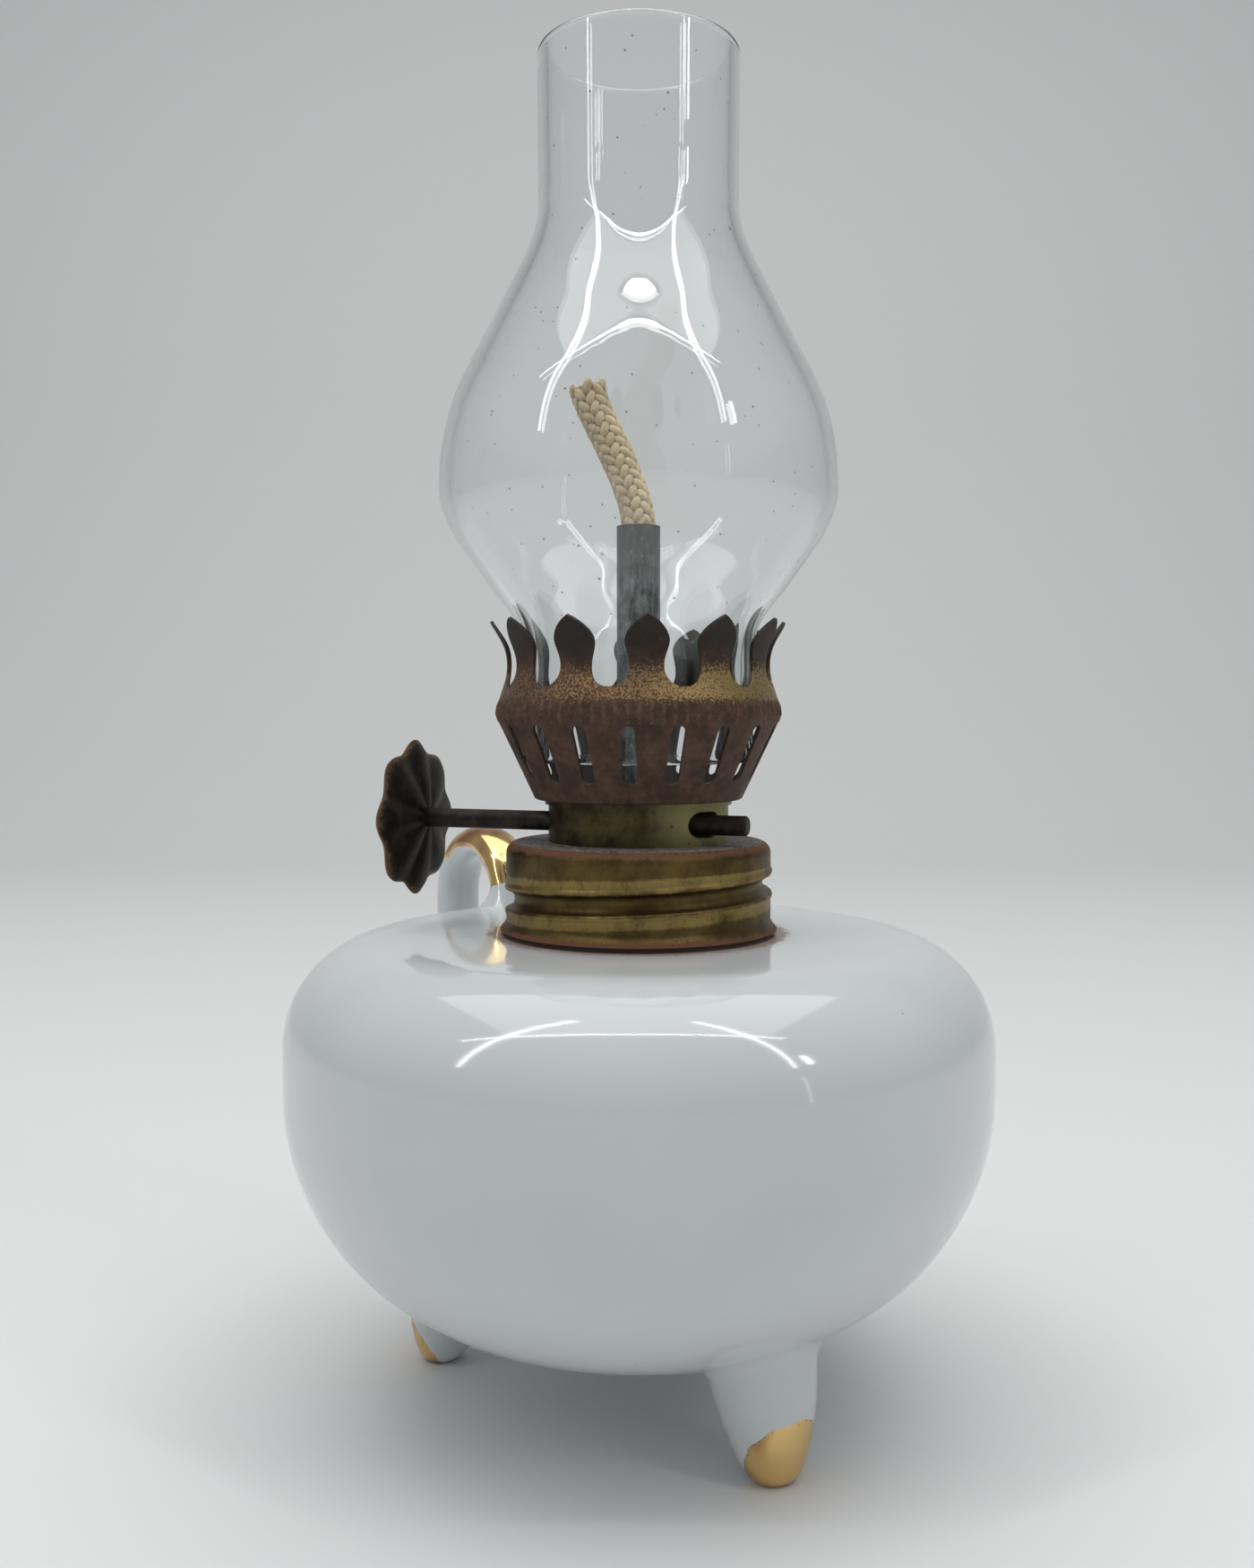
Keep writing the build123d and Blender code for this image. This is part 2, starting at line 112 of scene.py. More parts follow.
class Finish:
    """A material, with short ways to add its nodes."""

    def __init__(self, name):
        self.material = bpy.data.materials.new(name)
        self.material.use_nodes = True
        self.tree = self.material.node_tree
        self.shader = self.tree.nodes["Principled BSDF"]
        self.output = self.tree.nodes["Material Output"]
        self.place = self.node("ShaderNodeTexCoord", {}, {}, "Object")

    def node(self, kind, settings, inputs, out=0):
        made = self.tree.nodes.new(kind)
        for name, value in settings.items():
            setattr(made, name, value)
        for name, value in inputs.items():
            if isinstance(value, Mask):
                self.tree.links.new(value.socket, made.inputs[name])
            else:
                made.inputs[name].default_value = value
        return Mask(self, made.outputs[out])

    def noise(self, size_mm, detail=3.0, rough=0.55, where=None):
        """Cloudy noise whose blotches are about size_mm across."""
        inputs = {"Vector": where or self.place, "Scale": 1 / (size_mm * MM), "Detail": detail}
        return self.node("ShaderNodeTexNoise", {}, {**inputs, "Roughness": rough}, "Fac")

    def specks(self, spacing_mm, share, size):
        """Round specks: one cell in a few holds a dot, size times the cell across."""
        inputs = {"Vector": self.place, "Scale": 1 / (spacing_mm * MM)}
        near = self.node("ShaderNodeTexVoronoi", {}, inputs, "Distance")
        cell = self.node("ShaderNodeTexVoronoi", {}, inputs, "Color")
        chosen = self.node("ShaderNodeSeparateColor", {}, {0: cell}).step(1 - share - 0.01, 1 - share)
        return (1 - near.step(size * 0.6, size)) * chosen

    def height(self):
        """Height above the table in millimetres."""
        return self.node("ShaderNodeSeparateXYZ", {}, {0: self.place}, "Z") / MM

    def painted_light_right(self):
        """Painted light: 1 on the side of the cup towards the right of the view, and 0 at the lamp's axis.
        """
        inputs = {0: self.place, 1: PAINTED_LIGHT_WAY}
        return self.node("ShaderNodeVectorMath", {"operation": "DOT_PRODUCT"}, inputs, 1)

    def painted(self, name):
        """A mask that was stored on the mesh, point by point."""
        return self.node("ShaderNodeAttribute", {"attribute_name": name}, {}, "Fac")

    def blend(self, factor, first, second):
        """The colour first where factor is 0, and second where it is 1."""
        inputs = {0: factor}
        for socket, value in ((6, first), (7, second)):
            inputs[socket] = value if isinstance(value, Mask) else (*value, 1)
        return self.node("ShaderNodeMix", {"data_type": "RGBA"}, inputs, 2)

    def bump(self, height, depth_mm, strength=1.0):
        inputs = {"Height": height, "Distance": depth_mm * MM, "Strength": strength}
        return self.node("ShaderNodeBump", {}, inputs)

    def set(self, **inputs):
        """Set or link the shader's own sockets, named with underscores for spaces."""
        for name, value in inputs.items():
            socket = self.shader.inputs[name.replace("_", " ")]
            if isinstance(value, Mask):
                self.tree.links.new(value.socket, socket)
            elif isinstance(value, tuple) and len(value) == 3:
                socket.default_value = (*value, 1)
            else:
                socket.default_value = value


# %% [markdown]
# ## Glazed porcelain
# The font is white porcelain under a clear glossy glaze, faintly blue. A real glaze has a few
# iron specks and pinholes, and rust has bled on to it round the brass cap. Gilding is a thin
# gold lustre fired on the toes and the handle, rubbed through along its edge.


# %% Porcelain and gilding
def porcelain(name, gilded):
    f = Finish(name)
    cloud = f.noise(14, 2)
    white = f.blend(cloud, (0.60, 0.632, 0.642), (0.66, 0.69, 0.70))
    iron = f.specks(6.5, 0.12, 0.045).either(f.specks(3.1, 0.03, 0.05))
    body = f.blend(iron * 0.8, white, (0.10, 0.065, 0.045))
    pinholes = f.specks(3.4, 0.12, 0.05)
    near_cap = f.painted("near_cap")
    rust = (near_cap * 1.3 + f.noise(1.1, 5, 0.7) - 1.08).step(0.0, 0.3)
    body = f.blend(rust * 0.75, body, (0.20, 0.085, 0.035))
    rough = 0.07 + cloud * 0.05 + rust * 0.5
    if gilded:
        edge = f.painted("gilt") + (f.noise(3.0, 3, 0.6) - 0.5) * 0.7
        gold = edge.step(0.0, 0.05)
        worn = gold * (f.noise(0.5, 4, 0.7) - edge * 0.5).step(0.5, 0.58)
        # The bright gold is the gilding's own colour. The dark orange-brown blotches mixed into it stand in
        # for the gilding's dark reflections: painted reflection.
        lustre = f.blend(f.noise(8, 2).step(0.38, 0.56), (0.42, 0.20, 0.07), (0.84, 0.57, 0.24))
        lustre = f.blend(worn, lustre, (0.05, 0.03, 0.018))
        body = f.blend(gold, body, lustre)
        f.set(Metallic=gold * (1 - worn))
        rough = rough + gold * 0.04 + worn * 0.3
    f.set(Base_Color=body, Roughness=rough, IOR=1.52, Coat_Weight=0.25, Coat_Roughness=0.03)
    f.set(Normal=f.bump(f.noise(9, 2) + (1 - pinholes) * 0.5, 0.05, 0.35))
    return f.material


PORCELAIN = porcelain("porcelain_glaze", False)
GILDED = porcelain("gilded_porcelain", True)

# %% [markdown]
# ## Old brass
# Sheet brass goes olive and brown in the air. It stays yellow where hands rub the thread's
# crests, it rusts red-brown where salt and damp sit, and soot freckles the top of the cap.


# %% Brass for the cap and the cup
def cap_brass():
    f = Finish("aged_brass_cap")
    patina = f.noise(3.2, 5, 0.65)
    fine = f.noise(0.35, 4, 0.7)
    z = f.height()
    crest = f.painted("crest")
    tone = f.blend(patina.step(0.3, 0.7), (0.075, 0.048, 0.018), (0.155, 0.105, 0.036))
    rubbed = (crest * 0.75 + patina * 1.1 + fine * 0.5 - 1.2).step(0.0, 0.5)
    tone = f.blend(rubbed * 0.8, tone, (0.36, 0.26, 0.095))
    top = z.step(57.2, 58.7)
    lip = 1 - z.step(49.7, 51.0)
    rust = (top * 0.75 + lip * 0.8 + fine * 0.9 + patina * 0.5 - 1.15).step(0.0, 0.3)
    tone = f.blend(rust * 0.85, tone, (0.15, 0.055, 0.025))
    deck = z.step(58.75, 58.88)
    tone = f.blend(deck * 0.8, tone, f.blend(fine.step(0.45, 0.6), (0.10, 0.095, 0.09), (0.30, 0.29, 0.28)))
    soot = f.specks(0.55, 0.35, 0.38) * (top * 0.7 + 0.3)
    tone = f.blend(soot * 0.8, tone, (0.035, 0.022, 0.015))
    dirt = rust.either(soot).either(deck * 0.8)
    f.set(Base_Color=tone, Metallic=0.95 - dirt * 0.75, Roughness=0.36 + fine * 0.16 + dirt * 0.35)
    f.set(Normal=f.bump(fine + patina * 0.5, 0.06, 0.6))
    return f.material


def cup_brass():
    f = Finish("dull_brass_cup")
    patina = f.noise(2.6, 5, 0.65)
    fine = f.noise(0.4, 4, 0.7)
    tone = f.blend(patina.step(0.35, 0.65), (0.040, 0.026, 0.012), (0.105, 0.082, 0.034))
    # Painted light: the brass is painted lighter and yellower on the side towards the right of the view.
    tone = f.blend(f.painted_light_right().step(0.0, 0.6) * 0.8, tone, (0.30, 0.27, 0.12))
    spots = f.specks(0.9, 0.3, 0.3)
    tone = f.blend(spots * 0.8, tone, (0.03, 0.018, 0.012))
    f.set(Base_Color=tone, Metallic=0.85 - spots * 0.6, Roughness=0.38 + fine * 0.25)
    f.set(Normal=f.bump(fine, 0.05, 0.5))
    return f.material


CAP_BRASS = cap_brass()
CUP_BRASS = cup_brass()

# %% [markdown]
# ## The scorched gallery
# The gallery sits by the flame, so its brass has gone dark brown with a fine crust. The tips
# are nearly black, and the roots of the prongs still glint gold through the crust.


# %% Scorched brass
def scorched():
    f = Finish("scorched_gallery")
    z = f.height()
    blotch = f.noise(2.4, 5, 0.7)
    fine = f.noise(0.22, 3, 0.8)
    grit = f.noise(0.55, 4, 0.75)
    tone = f.blend(blotch.step(0.35, 0.68), (0.042, 0.020, 0.011), (0.105, 0.052, 0.028))
    tone = f.blend((grit * 0.6 + blotch * 0.5).step(0.6, 0.72) * 0.5, tone, (0.12, 0.085, 0.075))
    heads = z.step(76.3, 79.4)
    tone = f.blend(heads * 0.85, tone, (0.014, 0.010, 0.008))
    roots = z.step(72.6, 74.2) * (1 - z.step(75.6, 78.6))
    # Painted highlight: more gold flecks, and yellower ones, on the side towards the front right of the
    # view.
    side = f.painted("painted_highlight_side")
    glint = (fine + roots * 0.17 + side * roots * 0.1 - 0.66).step(0.0, 0.08)
    tone = f.blend(glint * 0.85, tone, f.blend(side, (0.40, 0.24, 0.13), (0.44, 0.32, 0.12)))
    ribs = f.painted("rib")
    tone = f.blend(ribs * grit.step(0.42, 0.6) * 0.45, tone, (0.20, 0.12, 0.06))
    # Painted shade: the inner face of the gallery wall is painted near-black.
    tone = f.blend(f.painted("inside") * 0.9, tone, (0.006, 0.004, 0.003))
    f.set(Base_Color=tone, Metallic=0.25 + glint * 0.7, Roughness=0.62 - glint * 0.28 + blotch * 0.1)
    f.set(Normal=f.bump(grit + fine * 0.6, 0.09, 0.8))
    return f.material


SCORCHED = scorched()

# %% [markdown]
# ## Wire, tube, wick, cork and glass
# The raiser wire and its knob are brass under a nearly black skin. The wick tube is tinned
# steel, mottled grey and sooty at its mouth. The wick is braided cotton. The glass is clear
# and thin, with a little dust on it.


# %% Dark wire, tinned steel and cork
def dark_wire():
    f = Finish("dark_wire")
    cloud = f.noise(2.2, 5, 0.65)
    fine = f.noise(0.3, 4, 0.7)
    tone = f.blend(cloud.step(0.35, 0.7), (0.009, 0.007, 0.005), (0.040, 0.030, 0.021))
    rim = f.painted("rim")
    copper = (rim * 0.8 + fine * 0.9 + cloud * 0.5 - 1.2).step(0.0, 0.3)
    tone = f.blend(copper * 0.7, tone, (0.22, 0.115, 0.055))
    f.set(Base_Color=tone, Metallic=0.6, Roughness=0.40 + fine * 0.25)
    f.set(Normal=f.bump(fine + cloud, 0.05, 0.6))
    return f.material


def tinned_steel():
    f = Finish("tinned_steel")
    cloud = f.noise(1.6, 5, 0.7)
    streak = f.node("ShaderNodeMapping", {}, {"Vector": f.place, "Scale": (1, 1, 0.12)})
    drawn = f.noise(0.35, 3, 0.7, streak)
    mouth = f.height().step(82.0, 91.5)
    tone = f.blend((cloud * 0.6 + drawn * 0.4).step(0.38, 0.66), (0.06, 0.068, 0.066), (0.24, 0.265, 0.255))
    chalk = f.specks(0.8, 0.3, 0.3)
    tone = f.blend(chalk * 0.6, tone, (0.45, 0.47, 0.47))
    tone = f.blend(mouth * 0.7, tone, (0.04, 0.043, 0.04))
    f.set(Base_Color=tone, Metallic=0.55, Roughness=0.42 + cloud * 0.25)
    f.set(Normal=f.bump(drawn + cloud, 0.04, 0.5))
    return f.material


def cork():
    f = Finish("cork_seal")
    grain = f.noise(0.7, 4, 0.7)
    tone = f.blend(grain.step(0.35, 0.65), (0.20, 0.11, 0.055), (0.46, 0.31, 0.18))
    f.set(Base_Color=tone, Roughness=0.85, Normal=f.bump(grain, 0.1, 0.7))
    return f.material


DARK_WIRE = dark_wire()
TINNED = tinned_steel()
CORK = cork()


# %% Cotton and glass
def cotton():
    f = Finish("cotton_braid")
    cloud = f.noise(1.8, 3, 0.6)
    fibre = f.noise(0.16, 3, 0.8)
    tip = f.painted("charred")
    tone = f.blend(cloud.step(0.3, 0.7), (0.42, 0.31, 0.175), (0.62, 0.485, 0.30))
    tone = f.blend(fibre.step(0.42, 0.62) * 0.4, tone, (0.74, 0.61, 0.42))
    tone = f.blend((tip + (cloud - 0.5) * 0.6).step(0.5, 1.0) * 0.45, tone, (0.24, 0.13, 0.06))
    f.set(Base_Color=tone, Roughness=0.92, Sheen_Weight=0.25, Sheen_Roughness=0.5)
    f.set(Normal=f.bump(fibre, 0.06, 0.8))
    return f.material


def clear_glass():
    f = Finish("clear_glass")
    f.set(Base_Color=(0.97, 0.985, 0.985), Roughness=0.015, IOR=1.47, Transmission_Weight=1.0)
    f.set(Normal=f.bump(f.noise(11, 2, 0.4), 0.06, 0.25))
    dust = f.specks(1.5, 0.16, 0.10).either(f.specks(4.6, 0.14, 0.055))
    lint = f.node("ShaderNodeBsdfDiffuse", {}, {"Color": (0.20, 0.17, 0.14, 1)})
    clear = f.node("ShaderNodeBsdfTransparent", {}, {"Color": (0.93, 0.95, 0.95, 1)})
    shadow = f.node("ShaderNodeLightPath", {}, {}, "Is Shadow Ray")
    lit = f.node("ShaderNodeMixShader", {}, {0: shadow, 1: Mask(f, f.shader.outputs[0]), 2: clear})
    whole = f.node("ShaderNodeMixShader", {}, {0: dust * 0.75, 1: lit, 2: lint})
    f.tree.links.new(whole.socket, f.output.inputs["Surface"])
    return f.material


COTTON = cotton()
GLASS = clear_glass()
print("materials:", ", ".join(m.name for m in bpy.data.materials))

# %% [markdown]
# ## Meshes from rings of points
# Most of the lamp is turned or blown, so a piece is a grid of points: one ring after another.
# One helper makes the faces, closes the poles, turns the faces outwards and marks sharp edges.


# %% Grid and lathe helpers
def finish_mesh(piece, material, sharp=35):
    """Merge doubles, face outwards, shade smooth with sharp corners, and give the material."""
    mesh = piece.data
    work = bmesh.new()
    work.from_mesh(mesh)
    bmesh.ops.remove_doubles(work, verts=work.verts, dist=1e-7)
    bmesh.ops.dissolve_degenerate(work, edges=work.edges, dist=1e-8)
    bmesh.ops.recalc_face_normals(work, faces=work.faces)
    work.to_mesh(mesh)
    work.free()
    mesh.polygons.foreach_set("use_smooth", [True] * len(mesh.polygons))
    mesh.set_sharp_from_angle(angle=radians(sharp))
    mesh.materials.clear()
    mesh.materials.append(material)
    return piece


def mesh_piece(name, points_mm, faces, masks=None):
    """A new object from points in millimetres, with masks stored point by point."""
    mesh = bpy.data.meshes.new(name)
    mesh.from_pydata([tuple(p) for p in np.asarray(points_mm) * MM], [], faces)
    for mask, values in (masks or {}).items():
        mesh.attributes.new(mask, "FLOAT", "POINT").data.foreach_set("value", list(values))
    piece = bpy.data.objects.new(name, mesh)
    bpy.context.collection.objects.link(piece)
    return piece


def ring_faces(rings, around, closed=True, first=0):
    """Quads between rings of points, closed all the way round or open."""
    faces = []
    for r in range(rings - 1):
        for c in range(around if closed else around - 1):
            a, b = first + r * around + c, first + r * around + (c + 1) % around
            faces.append((a, b, b + around, a + around))
    return faces


def lathe(name, outline, around, material, shape=None, masks=None, sharp=35):
    """Turn an outline of (radius, height) round the axis. shape moves each point's radius."""
    radius, height = np.array(outline, float).T
    turn = np.arange(around) * 2 * pi / around
    r = np.repeat(radius[:, None], around, 1)
    z = np.repeat(height[:, None], around, 1)
    a = np.repeat(turn[None, :], len(radius), 0)
    if shape:
        r = shape(r, z, a)
    points = np.stack([r * np.cos(a), r * np.sin(a), z], 2).reshape(-1, 3)
    stored = {mask: rule(r, z, a).ravel() for mask, rule in (masks or {}).items()}
    piece = mesh_piece(name, points, ring_faces(len(radius), around), stored)
    return finish_mesh(piece, material, sharp)


def arc(centre, radius, start, end, steps):
    """Points (radius, height) along an arc, in degrees."""
    turns = np.radians(np.linspace(start, end, steps + 1))
    return [(centre[0] + radius * cos(t), centre[1] + radius * sin(t)) for t in turns]


def ramp(start, end, steps):
    """Evenly spaced points on a straight run."""
    return [tuple(p) for p in np.linspace(start, end, steps + 1)]


def keep(piece, body, slot, *nodes):
    """Ride on a body, and stand for these nodes. The slot is not used."""
    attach(piece, body)
    if nodes:
        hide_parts(*nodes)
    print(piece.name, len(piece.data.polygons), "faces on", body)


# %% [markdown]
# ## The font
# The bowl is slip-cast: a flat base, one big quarter round, a short upright wall and a tight
# shoulder. The neck has a rolled groove that the cap's ridge follows, so the turned grid is
# pushed in along a helix there. The inside is hollow, for the oil.

# %% Bowl sizes
BOWL_R, BOWL_LOW, BOWL_HIGH = 36.9, 9.0, 49.2
BIG_ROUND, SHOULDER, THICK = 24.9, 10.8, 2.6
NECK_R, NECK_BORE = 13.15, 10.4
PITCH, THREAD_Z, THREAD_TURNS = 3.6, 51.4, 1.25
LOW_CENTRE = (BOWL_R - BIG_ROUND, BOWL_LOW + BIG_ROUND)
HIGH_CENTRE = (BOWL_R - SHOULDER, BOWL_HIGH - SHOULDER)


def thread_phase(z, a):
    """How far a point is along the thread's helix, in turns, and its height off the crest."""
    turn = (z - THREAD_Z) / PITCH - a / (2 * pi)
    off = (turn - np.round(turn)) * PITCH
    along = np.round(turn) + a / (2 * pi)
    return along, off


def groove(off, half_width):
    """A rounded groove's depth, 1 at its middle and 0 past its half width."""
    return np.sqrt(np.clip(1 - (off / half_width) ** 2, 0, 1))


# %% Turn the bowl
def neck_shape(r, z, a):
    along, off = thread_phase(z, a)
    on_neck = (r > NECK_R - 0.6) & (r < NECK_R + 0.05) & (z > 49.6)
    return r - np.where(on_neck & (along > -0.1), 0.9 * groove(off, 1.3), 0)


bowl_line = [(0.0, BOWL_LOW)] + ramp((4.0, BOWL_LOW), (LOW_CENTRE[0], BOWL_LOW), 4)
bowl_line += arc(LOW_CENTRE, BIG_ROUND, -90, 0, 60)[1:]
bowl_line += arc(HIGH_CENTRE, SHOULDER, 0, 90, 40)
bowl_line += ramp((24.0, 49.2), (15.0, 49.17), 12) + arc((14.15, 50.15), 1.0, -80, -175, 8)
bowl_line += ramp((NECK_R, 50.3), (NECK_R, 57.1), 56)
bowl_line += arc((NECK_R - 0.5, 57.1), 0.5, 10, 90, 6) + arc((NECK_BORE + 0.4, 57.2), 0.4, 90, 180, 5)
bowl_line += ramp((NECK_BORE, 56.0), (NECK_BORE, BOWL_HIGH - THICK + 0.5), 10)
bowl_line += ramp((NECK_BORE + 0.5, BOWL_HIGH - THICK), (HIGH_CENTRE[0], BOWL_HIGH - THICK), 8)
bowl_line += arc(HIGH_CENTRE, SHOULDER - THICK, 88, 0, 20)
bowl_line += arc(LOW_CENTRE, BIG_ROUND - THICK, 0, -90, 30) + [(0.0, BOWL_LOW + THICK)]
stain = {"near_cap": lambda r, z, a: np.clip((18.2 - r) / 4.2, 0, 1) * (z > 48.9)}
bowl = lathe("font_bowl", bowl_line, 192, PORCELAIN, neck_shape, stain, sharp=45)
keep(bowl, "font", "porcelain", "font_body", "font_neck")

# %% [markdown]
# ## The feet
# Each foot is pulled from the bowl with a soft fillet at its root: upright outside, slanting
# inside, and round at the toe, where the gilding is. Rings of points climb from the pad to
# the bowl, and the last ones roll out along the bowl's surface on a small radius.

# %% Shape of a foot
FOOT_ROWS = [
    # height, reach of the centre, half width round, half depth outwards
    (0.0, 23.2, 1.45, 1.35),
    (0.15, 23.2, 2.0, 1.85),
    (0.6, 23.15, 2.55, 2.4),
    (1.5, 23.0, 3.1, 3.0),
    (2.6, 22.8, 3.6, 3.45),
    (4.0, 22.6, 4.1, 3.9),
    (6.0, 22.15, 4.65, 4.5),
    (8.0, 21.7, 5.1, 5.0),
    (13.6, 20.6, 5.8, 5.7),
]
FILLET = 1.2


def foot_point(height, u):
    """A point of the foot's side: x outwards from the lamp's axis, y round it."""
    rows = np.array(FOOT_ROWS)
    reach, wide, deep = (np.interp(height, rows[:, 0], rows[:, k]) for k in (1, 2, 3))
    return reach + deep * cos(u), wide * sin(u)


def bowl_under(x, y):
    """The height of the bowl's underside above a point."""
    out = max(sqrt(x * x + y * y) - LOW_CENTRE[0], 0.0)
    return LOW_CENTRE[1] - sqrt(BIG_ROUND**2 - out**2)


# %% Build a foot
def foot(name, angle, around=72):
    points, gilt = [(FOOT_ROWS[0][1], 0, 0)] * around, [1.0] * around
    tops = []
    for u in np.arange(around) * 2 * pi / around:
        top = 10.0
        for _ in range(30):
            top = bowl_under(*foot_point(top, u))
        tops.append(top)
    climb = [0.0, 0.015, 0.04, 0.07, 0.11, 0.16, 0.22] + list(np.linspace(0.3, 1.0, 14))
    rolls = np.radians(np.linspace(8, 90, 10))
    for row in range(len(climb) + len(rolls)):
        for k, u in enumerate(np.arange(around) * 2 * pi / around):
            top = tops[k]
            x, y = foot_point(top, u)
            out = sqrt(x * x + y * y)
            lean = (out - LOW_CENTRE[0]) / BIG_ROUND
            normal = Vector((x / out * lean, y / out * lean, -sqrt(1 - lean**2)))
            start = max(top - FILLET * 1.15 / max(-normal.z, 0.4), 1.8)
            if row < len(climb):
                z = start * climb[row]
                px, py = foot_point(z, u)
            else:
                roll = rolls[row - len(climb)]
                away = 1 - sin(roll)
                z = top - (top - start) * away
                px, py = foot_point(z, u)
                side = Vector((cos(u), sin(u), 0))
                along = (side - normal * side.dot(normal)).normalized()
                px, py, z = Vector((px, py, z)) + along * FILLET * (1 - cos(roll))
                if row == len(climb) + len(rolls) - 1:
                    z = bowl_under(px, py) + 0.03
            points.append((px, py, z))
            gilt.append((6.9 - z - 4.8 * (1 - cos(u))) / 2)
    turn = Matrix.Rotation(radians(angle), 3, "Z")
    turned = [turn @ Vector(p) for p in points]
    rings = 1 + len(climb) + len(rolls)
    piece = mesh_piece(name, turned, ring_faces(rings, around), {"gilt": gilt})
    return finish_mesh(piece, GILDED, 60)


for node_name, angle in (("foot_front", -90), ("foot_right", 52), ("foot_left", 128)):
    keep(foot("gilded_" + node_name, angle), "font", "porcelain", node_name)

# %% [markdown]
# ## The handle
# A strap of clay bent into a loop, thumbed on at the shoulder and the side. Its section is a
# flattened round that follows the loop, and it swells at both ends into a small fillet.


# %% Loop handle
def handle():
    near, spring, rise = 27.0, 48.6, 7.6
    line = [(near, z) for z in np.linspace(47.2, spring, 5)]
    line += arc((near + rise, spring), rise, 180, 0, 40)[1:]
    line += ramp((near + 2 * rise, spring - 0.6), (near + 2 * rise, 45.0), 6)
    end = np.array((34.4, 36.1))
    start = np.array(line[-1])
    for t in np.linspace(0.06, 1, 16):
        bend = start + np.array((0, -6.2))
        line.append(tuple((1 - t) ** 2 * start + 2 * t * (1 - t) * bend + t * t * end))
    line = np.array(line)
    ahead = np.gradient(line, axis=0)
    ahead /= np.linalg.norm(ahead, axis=1)[:, None]
    run = np.concatenate([[0], np.cumsum(np.linalg.norm(np.diff(line, axis=0), axis=1))])
    around = 40
    points, gilt = [], []
    for k, (y, z) in enumerate(line):
        ends = max(0.0, 1 - (run[k] - 2.0) / 3.0, 1 - (run[-1] - run[k] - 2.2) / 3.0)
        swell = 1 + 0.55 * min(ends, 1.4) ** 2
        for u in np.arange(around) * 2 * pi / around:
            across = 2.8 * swell * abs(cos(u)) ** 0.85 * (1 if cos(u) >= 0 else -1)
            deep = 1.9 * swell * sin(u)
            side = (-ahead[k][1] * deep, ahead[k][0] * deep)
            points.append((across, y + side[0], z + side[1]))
            gilt.append(min((run[k] - 4.2) / 2, (19.5 - run[k]) / 2, 1.8 * (sin(u) + 0.25)))
    faces = ring_faces(len(line), around)
    faces.append(tuple(range(around))[::-1])
    faces.append(tuple((len(line) - 1) * around + c for c in range(around)))
    piece = mesh_piece("loop_handle", points, faces, {"gilt": gilt})
    return finish_mesh(piece, GILDED, 60)


keep(handle(), "font", "porcelain", "handle")

# %% [markdown]
# ## The screw cap
# Sheet brass, spun to a cup and rolled once with a thread, so that the groove outside is the
# ridge inside. The wall's radius follows the same helix as the neck, with a soft roll on each
# side of the groove, and the lip flares where it was trimmed.

# %% Spin the cap
CAP_R, CAP_TOP, CAP_LOW, SHEET = 13.9, 58.9, 49.7, 0.4


def cap_shape(r, z, a):
    along, off = thread_phase(z, a)
    fade = np.clip((along + 0.04) / 0.12, 0, 1) * np.clip((THREAD_TURNS + 0.06 - along) / 0.12, 0, 1)
    wall = (r > 12.9) & (z > CAP_LOW + 0.5) & (z < 57.4)
    roll = 0.86 * groove(off, 0.95) - 0.16 * np.exp(-(((np.abs(off) - 1.25) / 0.3) ** 2))
    return r - np.where(wall, fade * roll, 0)


def crest(r, z, a):
    along, off = thread_phase(z, a)
    between = np.clip((np.abs(off) - 0.7) / 0.6, 0, 1)
    return between * (z < 56.5) * (z > 50.6) + 0.25 * (z > 56.5)


inner = CAP_R - SHEET
cap_line = ramp((2.29, CAP_TOP), (11.6, CAP_TOP), 10) + arc((CAP_R - 1.2, CAP_TOP - 1.2), 1.2, 90, 0, 10)
cap_line += ramp((CAP_R, 57.5), (CAP_R, 50.75), 64)[1:]
cap_line += [(CAP_R + 0.12, 50.5), (CAP_R + 0.35, 50.15), (CAP_R + 0.6, 49.85), (CAP_R + 0.68, CAP_LOW)]
cap_line += [(CAP_R + 0.4, CAP_LOW), (inner + 0.3, 50.2), (inner + 0.1, 50.55)]
cap_line += ramp((inner, 50.75), (inner, 57.5), 64) + arc((CAP_R - 1.2, CAP_TOP - 1.2), 0.8, 0, 90, 6)
cap_line += ramp((11.6, CAP_TOP - SHEET), (2.29, CAP_TOP - SHEET), 8) + [(2.29, CAP_TOP)]
cap = lathe("threaded_cap", cap_line, 240, CAP_BRASS, cap_shape, {"crest": crest}, sharp=50)
keep(cap, "burner", "brass", "screw_cap")

# %% [markdown]
# ## The gallery, built from repeats
# The gallery is one stamped sheet: eighteen bays with a slot each, below twelve prongs. One
# bay and one prong are modelled flat on the cone, and a Geometry Nodes tree repeats each round
# the axis and welds the seams. A thickness is added once the ring is whole.


